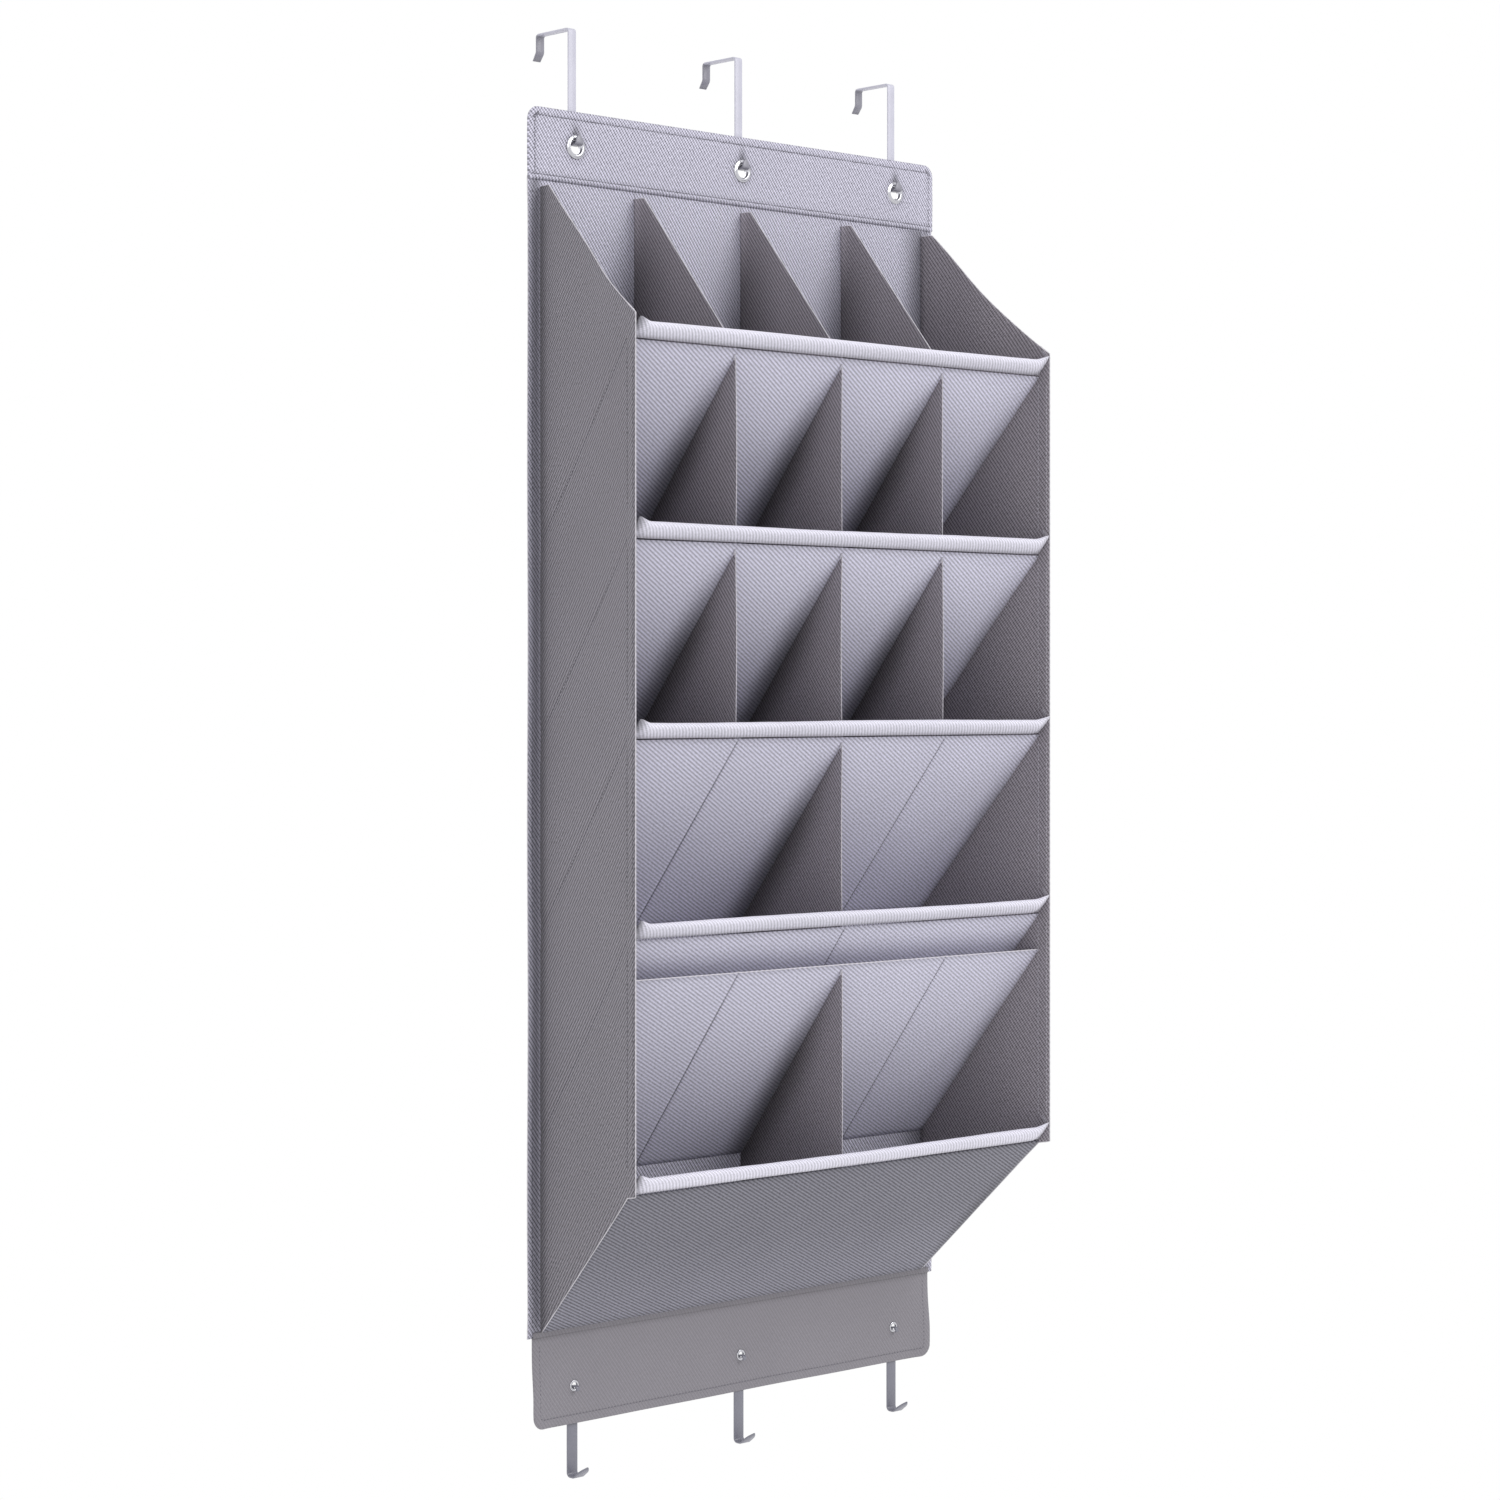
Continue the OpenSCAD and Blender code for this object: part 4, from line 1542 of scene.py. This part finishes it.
    def lip(self, k: int) -> bpy.types.Object:
        """Builds a rolled lip: a soft tube, fuller at the top and pinched at its ends.

        Args:
            k: Number of the lip from 0 at the top.

        Returns:
            The object.
        """
        at = self.layout
        half = float(at.inside(np.array(at.seam + 4 * MM))) - 0.2 * MM
        near_ends = [s * (half - d * MM) for s in SIDES for d in (1, 2, 3.5, 5, 7, 9, 11, 13, 16, 20)]
        xs = steps(-half, half, 7 * MM, *near_ends)
        base = np.array([at.seam - 0.4 * MM, at.lips[k] + 0.6 * MM])
        count = 28
        points, uvs = [], []
        for x in xs:
            end = half - abs(x)
            open_up = float(smooth(np.array(end / (13 * MM))))
            long = self.lip_length + 4.5 * MM * (1 - float(smooth(np.array(end / (17 * MM)))))
            wobble = 1 + 0.05 * math.sin(x * 47 + k) + 0.03 * math.sin(x * 131 + 2 * k)
            full = self.lip_full * (0.22 + 0.78 * open_up) * wobble
            lean = self.lean + 0.05 * math.sin(x * 13 + k * 2)
            up = np.array([-math.sin(lean), math.cos(lean)])
            out = np.array([-math.cos(lean), -math.sin(lean)])
            for j in range(count):
                turn = math.tau * j / count
                s = (1 - math.cos(turn)) / 2
                side = math.sin(turn)
                body = math.copysign(abs(side) ** 0.72, side) * (0.50 + 0.50 * s ** 0.6)
                drag = 2.6 * MM * (1 - open_up) * (0.25 + s)
                y, z = base + up * (long - 1.2 * MM) * s + out * (full * body - drag * 0.6)
                points.append((x, y, z))
                uvs.append((x, j / count * 2 * (long + 6 * MM)))
        faces = []
        for i in range(len(xs) - 1):
            for j in range(count):
                a, b = i * count + j, i * count + (j + 1) % count
                faces.append((a, b, b + count, a + count))
        last = (len(xs) - 1) * count
        faces += [tuple(range(count - 1, -1, -1)), tuple(last + j for j in range(count))]
        angle = math.tau * np.arange(count) / count
        turn = np.tile((1 - np.cos(angle)) / 2, len(xs))
        front_side = np.tile(np.sin(angle), len(xs))
        # Painted shade: darker near the roll's seam and on its back face, and darker at both ends, much more
        # at the left, standing in for the shaded gusset there.
        shade = 0.6 + 0.4 * smooth(turn / 0.45)
        shade = np.where(front_side < -0.4, shade * 0.9, shade)
        ends = np.repeat(half - np.abs(xs), count)
        slant = ends / ((4 + 8 * turn if k < 3 else 12 - 6 * turn) * MM)
        left = np.repeat(xs < 0, count)
        shade = shade * np.where(left, 0.34 + 0.66 * smooth(slant), 0.85 + 0.15 * smooth(slant))
        obj = add_mesh(f"lip_roll_{k + 1}", np.array(points), faces, ["lip"], np.array(uvs), shade)
        settle(obj, "pockets", "lip", f"lip_{k + 1}", f"lip_core_{k + 1}")
        return obj

    def sew_lips(self) -> None:
        """Builds the stitched line under each lip."""
        at = self.layout
        rows = Stitching("lip_stitches", "pockets", "thread", 2.8 * MM, 4.0 * MM, 0.26 * MM)
        half, y = float(at.inside(np.array(at.seam))) - 6 * MM, at.seam - 2.4 * MM
        for z in (lip + 1.4 * MM for lip in at.lips):
            rows.row([(-half, y, z), (half, y, z)], (0, -0.8, -0.6))
        rows.build()

    def build(self) -> None:
        """Builds all of the pockets."""
        self.sheets()
        tacks = Stitching("divider_tacks", "pockets", "pale_thread", 2.4 * MM, 3.4 * MM, 0.34 * MM)
        for tier in range(1, 6):
            for place, x0 in zip(PLACES, self.quarters):
                if tier < 4 or place == "middle":
                    self.divider(tier, place, x0, tacks)
        tacks.build()
        for k in range(5):
            self.lip(k)
        self.sew_lips()


@dataclass
class Flap:
    """The flap below the bottom seam, with its eyelets.

    Attributes:
        layout: Places of the fabric.
        corner: Radius of the lower corners.
        hem: Width of the hem.
        hole: Radius of the hole in the cloth.
        lap: How far the cloth laps over the bottom seam.
    """

    layout: Layout
    corner: float = 12 * MM
    hem: float = 8 * MM
    hole: float = 3.9 * MM
    lap: float = 5.4 * MM

    def __post_init__(self) -> None:
        """Reads the flap's box and its eyelet centres."""
        self.low, self.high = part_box("bottom_flap")
        self.rings = [middle_of(f"eyelet_{p}") for p in PLACES]
        self.spots = [(c.x, c.z) for c in self.rings]

    def half_at(self, z: np.ndarray) -> np.ndarray:
        """Half the flap's width at a height, less in its rounded corners."""
        down = np.clip(self.low.z + self.corner - z, 0, self.corner)
        return self.high.x - self.corner + np.sqrt(np.maximum(self.corner**2 - down**2, 0))

    def sway(self, x: np.ndarray, z: np.ndarray) -> np.ndarray:
        """Waves the flap to and fro, calm round its eyelets and drawn forward at its ends.

        Args:
            x: Places across the flap.
            z: Heights.

        Returns:
            How far back each point moves.
        """
        fall = smooth((self.layout.base - z) / (60 * MM))
        calm = np.ones(np.shape(x))
        for cx, cz in self.spots:
            calm = calm * (1 - np.exp(-((np.hypot(x - cx, z - cz)) / (22 * MM)) ** 2))
        wave = fall * calm * (0.9 * MM * np.sin(x * 14 + 0.8) + 0.5 * MM * np.sin(x * 37))
        return wave - 2.5 * MM * smooth((np.abs(x) - 240 * MM) / (30 * MM)) * fall**2

    def cloth(self) -> bpy.types.Object:
        """Builds the hemmed cloth, which reaches over the bottom seam.

        Returns:
            The object.
        """
        at = self.layout
        half, bottom = self.high.x, self.low.z
        beside = around([c for c, _ in self.spots], 7 * MM, 1 * MM)
        xs = steps(-1, 1, 6 * MM / half, *[s / half for s in beside])
        zs = steps(
            bottom + 0.02 * MM, at.base + self.lap, 5 * MM,
            *around([self.spots[0][1]], 7 * MM, 1 * MM),
            *[bottom + self.hem + d * MM for d in (-1, 0, 1)],
            *[at.base + k * 0.6 * MM for k in range(-8, 9)],
            *[bottom + self.corner * (1 - math.sin(a)) for a in np.linspace(0.2, 1.5, 8)],
        )
        a, z = np.meshgrid(xs, zs, indexing="ij")
        x, z, keep = round_holes(a * self.half_at(z), z, self.spots, self.hole)
        edge = np.minimum(self.half_at(z) - np.abs(x), z - bottom)
        hem = 0.8 * MM * (1 - smooth((edge - self.hem) / (1 * MM)))
        thick = at.skin + hem - 0.5 * MM * ridge(edge, self.hem, 1.4 * MM)
        thick = thick * (1 - 0.3 * (1 - smooth(edge / (1.5 * MM))))
        y = at.panel + self.sway(x, z) - 1.35 * MM * smooth((z - at.base - 0.2 * MM) / (1.2 * MM))
        # Painted shade along the hem's line and along the top, under the bottom panel.
        shade = 1 - 0.1 * ridge(edge, self.hem, 1.4 * MM) - 0.2 * smooth((z - at.base + 6 * MM) / (8 * MM))
        sheet = Sheet(
            "flap_cloth", np.stack([x, y, z], -1), np.stack([x, z], -1), thick, shade, keep,
            ("flap", "flap", "flap"),
        )
        obj = sheet.build()
        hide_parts("bottom_flap")
        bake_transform(obj)
        LOG.info("flap_cloth bends between pockets and flap, %d faces", len(obj.data.polygons))
        return obj

    def ring(self, place: str, centre: Vector) -> None:
        """Builds one polished eyelet, rolled over both faces of the cloth.

        Args:
            place: Name of its place.
            centre: Middle of the eyelet.
        """
        low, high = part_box(f"eyelet_{place}")
        r, a, b = (high.x - low.x) / 2, low.y - centre.y, high.y - centre.y
        profile = [
            (3.2 * MM, a + 0.5 * MM), (3.5 * MM, a + 0.1 * MM), (4.1 * MM, a), (4.9 * MM, a + 0.15 * MM),
            (r, a + 0.5 * MM), (r - 0.1 * MM, a + 0.75 * MM), (3.8 * MM, a + 0.8 * MM),
            (3.8 * MM, b - 0.8 * MM), (r - 0.1 * MM, b - 0.75 * MM), (r, b - 0.5 * MM),
            (4.9 * MM, b - 0.15 * MM), (4.1 * MM, b), (3.5 * MM, b - 0.1 * MM), (3.2 * MM, b - 0.5 * MM),
        ]
        settle(lathe(f"eyelet_ring_{place}", centre, profile, "plate"), "flap", "plate", f"eyelet_{place}")

    def corner_line(self, side: int, y: float) -> list[tuple[float, float, float]]:
        """Leads the hem's stitched line round a lower corner.

        Args:
            side: -1 for the left corner, 1 for the right.
            y: Depth of the line.

        Returns:
            Points from the corner's inner end to its outer end.
        """
        inset, foot = self.high.x - self.hem, self.low.z + self.hem
        radius = self.corner - self.hem
        return [
            (side * (inset - radius + radius * math.sin(t)), y, foot + radius - radius * math.cos(t))
            for t in np.linspace(0, math.pi / 2, 5)
        ]

    def sew(self) -> None:
        """Builds the hem's stitched line on both faces."""
        rows = Stitching("flap_stitches", "flap", "thread", 2.8 * MM, 4.0 * MM, 0.26 * MM)
        inset, top = self.high.x - self.hem, self.layout.base - 6 * MM
        for y, out in ((self.low.y - 0.1 * MM, (0, -1, 0)), (self.high.y + 0.1 * MM, (0, 1, 0))):
            left, right = self.corner_line(-1, y), self.corner_line(1, y)
            path = [(-inset, y, top), *reversed(left), *right, (inset, y, top)]
            rows.row(self.on_cloth(path), out)
        rows.build()

    def on_cloth(self, path: Sequence[tuple[float, float, float]]) -> list[tuple[float, float, float]]:
        """Moves a path so that it follows the flap's waves.

        Args:
            path: Corners of the path on the flat flap.

        Returns:
            Close points on the waved flap.
        """
        dense = []
        for a, b in zip(path, path[1:]):
            count = max(1, int(math.dist(a, b) / (6 * MM)))
            dense += [tuple(p + (q - p) * k / count for p, q in zip(a, b)) for k in range(count)]
        dense.append(path[-1])
        return [(x, y + float(self.sway(x, z)), z) for x, y, z in dense]

    def build(self) -> None:
        """Builds the flap, its eyelets and its stitching."""
        self.cloth()
        for place, centre in zip(PLACES, self.rings):
            self.ring(place, centre)
        self.sew()


@dataclass
class Hooks:
    """The flat hooks over the door and under the flap.

    Attributes:
        door: Half the width of the bridge over the door.
        thick: Thickness of a top hook.
        tip: Width of a top hook's tip.
        splay: How far its tongue turns away from the door.
        foot_thick: Thickness of a bottom hook.
        neck: Width of a bottom hook's neck.
        toe: Width of its toe.
        rise: Slope of its foot.
    """

    door: float = 22.5 * MM
    thick: float = 1.6 * MM
    tip: float = 6 * MM
    splay: float = math.radians(35)
    foot_thick: float = 1.5 * MM
    neck: float = 4.2 * MM
    toe: float = 2.4 * MM
    rise: float = math.radians(38)

    def top(self, place: str) -> None:
        """Builds one over-door hook as a bent strip.

        Args:
            place: Name of its place.
        """
        low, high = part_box(f"top_hook_{place}")
        hole = middle_of(f"grommet_{place}")
        h = self.thick / 2
        run_z, drop = hole.z + 2.2 * MM, -16 * MM
        rear = self.door + h
        corners = [
            (low.y + h, hole.z + 13 * MM), (low.y + h, run_z), (-rear, run_z), (-rear, h), (rear, h),
            (rear, drop), (rear + 9 * MM * math.sin(self.splay), drop - 9 * MM * math.cos(self.splay)),
        ]
        path = filleted(corners, [1.5 * MM + h, 1.5 * MM + h, 2 * MM + h, 2 * MM + h, 5 * MM])
        total, wide = length_of(path), high.x - low.x

        def width(s: float) -> float:
            """Finds the width of the strip, narrowed to a round tip.

            Args:
                s: Length along the strip from its tip.

            Returns:
                The width.
            """
            if s < 3 * MM:
                return self.tip * math.sqrt(max(0.04, 1 - (1 - s / (3 * MM)) ** 2))
            return self.tip + (wide - self.tip) * min(1.0, (s - 3 * MM) / (7 * MM))

        def shaded(s: float) -> int:
            """Number of the finish at a length: 1, the darker copy of the paint as painted shade, on the tip
            and the tongue.
            """
            return 1 if s > total - 26 * MM or s < 20 * MM else 0

        keys = ["top_paint", "tongue_painted_shade"]
        obj = strip(f"door_hook_{place}", (low.x + high.x) / 2, path, width, self.thick, shaded, keys)
        settle(obj, f"top_hook_{place}_body", "top_paint", f"top_hook_{place}")

    def bottom(self, place: str) -> None:
        """Builds one lower hook: a narrow neck through the eyelet and a pointed foot.

        Args:
            place: Name of its place.
        """
        low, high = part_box(f"bottom_hook_{place}")
        ring_low, ring_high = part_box(f"eyelet_{place}")
        h = self.foot_thick / 2
        run_z = (ring_low.z + ring_high.z) / 2 - 0.4 * MM
        tip_y, strap_y = ring_low.y - 3.4 * MM - h, ring_high.y + 0.3 * MM + h
        foot_z, turn_y = low.z + h, strap_y - h - 8 * MM
        slope = 17.5 * MM
        corners = [
            (tip_y, run_z - h - 3.5 * MM), (tip_y, run_z), (strap_y, run_z), (strap_y, foot_z),
            (turn_y, foot_z), (turn_y - slope * math.cos(self.rise), foot_z + slope * math.sin(self.rise)),
        ]
        path = filleted(corners, [1.2 * MM + h, 1.2 * MM + h, 3 * MM + h, 3 * MM])
        total, wide = length_of(path), high.x - low.x
        neck_end, point = 16 * MM, 7 * MM

        def width(s: float) -> float:
            """Finds the width of the strip, from its neck to its pointed toe.

            Args:
                s: Length along the strip from its tip.

            Returns:
                The width.
            """
            if s < neck_end:
                return self.neck
            if s > total - point:
                return wide + (self.toe - wide) * (s - total + point) / point
            return self.neck + (wide - self.neck) * min(1.0, (s - neck_end) / (11 * MM))

        def plain(s: float) -> int:
            """Number of the finish at a length, the same all along."""
            return 0

        obj = strip(
            f"flap_hook_{place}", (low.x + high.x) / 2, path, width, self.foot_thick, plain, ["foot_paint"]
        )
        settle(obj, f"bottom_hook_{place}_body", "foot_paint", f"bottom_hook_{place}")

    def build(self) -> None:
        """Builds all six hooks."""
        for place in PLACES:
            self.top(place)
            self.bottom(place)


@dataclass
class Studio:
    """Camera, lights, world and floor.

    Attributes:
        eye: Where the camera stands.
        yaw: How far it is turned to the right.
        lens: Its focal length in millimetres.
        lift: Its vertical shift.
        floor_z: Height of the floor.
        floor_radius: Radius of the floor.
    """

    eye: tuple[float, float, float] = (-2.3153, -2.4811, -0.6246)
    yaw: float = 0.7590
    lens: float = 82.03
    lift: float = -0.0394
    floor_z: float = -1.62
    floor_radius: float = 3.0

    def camera(self) -> None:
        """Makes the level camera."""
        data = bpy.data.cameras.new("camera")
        data.lens, data.sensor_width, data.shift_y = self.lens, 36.0, self.lift
        data.clip_start, data.clip_end = 0.05, 50
        obj = bpy.data.objects.new("camera", data)
        bpy.context.scene.collection.objects.link(obj)
        obj.location = self.eye
        forward = Vector((math.sin(self.yaw), math.cos(self.yaw), 0))
        obj.rotation_mode = "QUATERNION"
        obj.rotation_quaternion = forward.to_track_quat("-Z", "Y")
        bpy.context.scene.camera = obj

    def lamp(
        self,
        name: str,
        place: Sequence[float],
        aim: Sequence[float],
        size: float,
        power: float,
        tone: tuple[float, float, float] = (1, 1, 1),
    ) -> None:
        """Adds a soft square lamp.

        Args:
            name: Name of the lamp.
            place: Where it stands.
            aim: What it points at.
            size: Side of the square.
            power: Power in watts.
            tone: Colour of the light.
        """
        data = bpy.data.lights.new(name, "AREA")
        data.size, data.energy, data.color = size, power, tone
        obj = bpy.data.objects.new(name, data)
        bpy.context.scene.collection.objects.link(obj)
        obj.location = place
        obj.rotation_mode = "QUATERNION"
        obj.rotation_quaternion = (Vector(aim) - Vector(place)).to_track_quat("-Z", "Y")

    def world(self) -> None:
        """Makes a white room that lights softly."""
        world = bpy.data.worlds.new("white_room")
        bpy.context.scene.world = world
        world.use_nodes = True
        n = Nodes(world.node_tree)
        n.tree.nodes.clear()
        soft = n.add("ShaderNodeBackground", Color=(0.97, 0.97, 1.0, 1), Strength=0.92)
        seen = n.add("ShaderNodeBackground", Color=(1, 1, 1, 1), Strength=1.0)
        ray = n.add("ShaderNodeLightPath")
        mix = n.add("ShaderNodeMixShader")
        n.link(ray.outputs["Is Camera Ray"], mix.inputs[0])
        n.link(soft.outputs[0], mix.inputs[1])
        n.link(seen.outputs[0], mix.inputs[2])
        n.link(mix.outputs[0], n.add("ShaderNodeOutputWorld").inputs[0])

    def floor(self) -> None:
        """Makes a pale floor that fades into the white room."""
        material = bpy.data.materials.new("pale_floor")
        material.use_nodes = True
        n = Nodes(material.node_tree)
        n.tree.nodes.clear()
        place = n.add("ShaderNodeTexCoord")
        far = n.add("ShaderNodeVectorMath", operation="LENGTH")
        n.link(place.outputs["Object"], far.inputs[0])
        fade = n.math("DIVIDE", n.math("SUBTRACT", far.outputs["Value"], 0.15), 0.6, clamp=True)
        paint = n.add("ShaderNodeBsdfPrincipled", Base_Color=(0.9, 0.9, 0.91, 1), Roughness=0.8)
        glow = n.add("ShaderNodeEmission", Color=(1, 1, 1, 1), Strength=1.0)
        mix = n.add("ShaderNodeMixShader")
        n.link(fade, mix.inputs[0])
        n.link(paint.outputs[0], mix.inputs[1])
        n.link(glow.outputs[0], mix.inputs[2])
        n.link(mix.outputs[0], n.add("ShaderNodeOutputMaterial").inputs[0])
        turns = 96
        angles = [math.tau * k / turns for k in range(turns)]
        ring = [(self.floor_radius * math.cos(a), self.floor_radius * math.sin(a), 0) for a in angles]
        mesh = bpy.data.meshes.new("floor")
        mesh.from_pydata(ring, [], [tuple(range(turns))])
        mesh.materials.append(material)
        obj = bpy.data.objects.new("floor", mesh)
        bpy.context.scene.collection.objects.link(obj)
        obj.location = (0, 0, self.floor_z)

    def build(self) -> None:
        """Builds the studio."""
        bpy.context.scene.view_settings.view_transform = "Standard"
        self.camera()
        self.world()
        self.floor()
        self.lamp("key", (1.4, -3.4, 1.6), (0, -0.1, -0.6), 2.4, 72)
        self.lamp("fill", (-3.2, -1.2, 0.2), (0, -0.1, -0.7), 2.4, 13)
        self.lamp("back", (0.6, 3.2, 1.2), (0, 0, -0.6), 2.4, 34)


def main() -> None:
    """Builds every sub-assembly in order."""
    logging.basicConfig(level=logging.INFO, format="%(name)s: %(message)s")
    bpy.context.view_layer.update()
    GROUPS[Effect.WEAVE] = weave_group()
    GROUPS[Effect.MOTTLE] = mottle_group()
    MATERIALS.update({key: finish.build() for key, finish in FINISHES.items()})
    layout = Layout.from_frame()
    Studio().build()
    for assembly in (Header(layout), Back(layout), Sides(layout), Pockets(layout), Flap(layout), Hooks()):
        assembly.build()
        LOG.info("%s done", type(assembly).__name__)


if __name__ == "__main__":
    main()
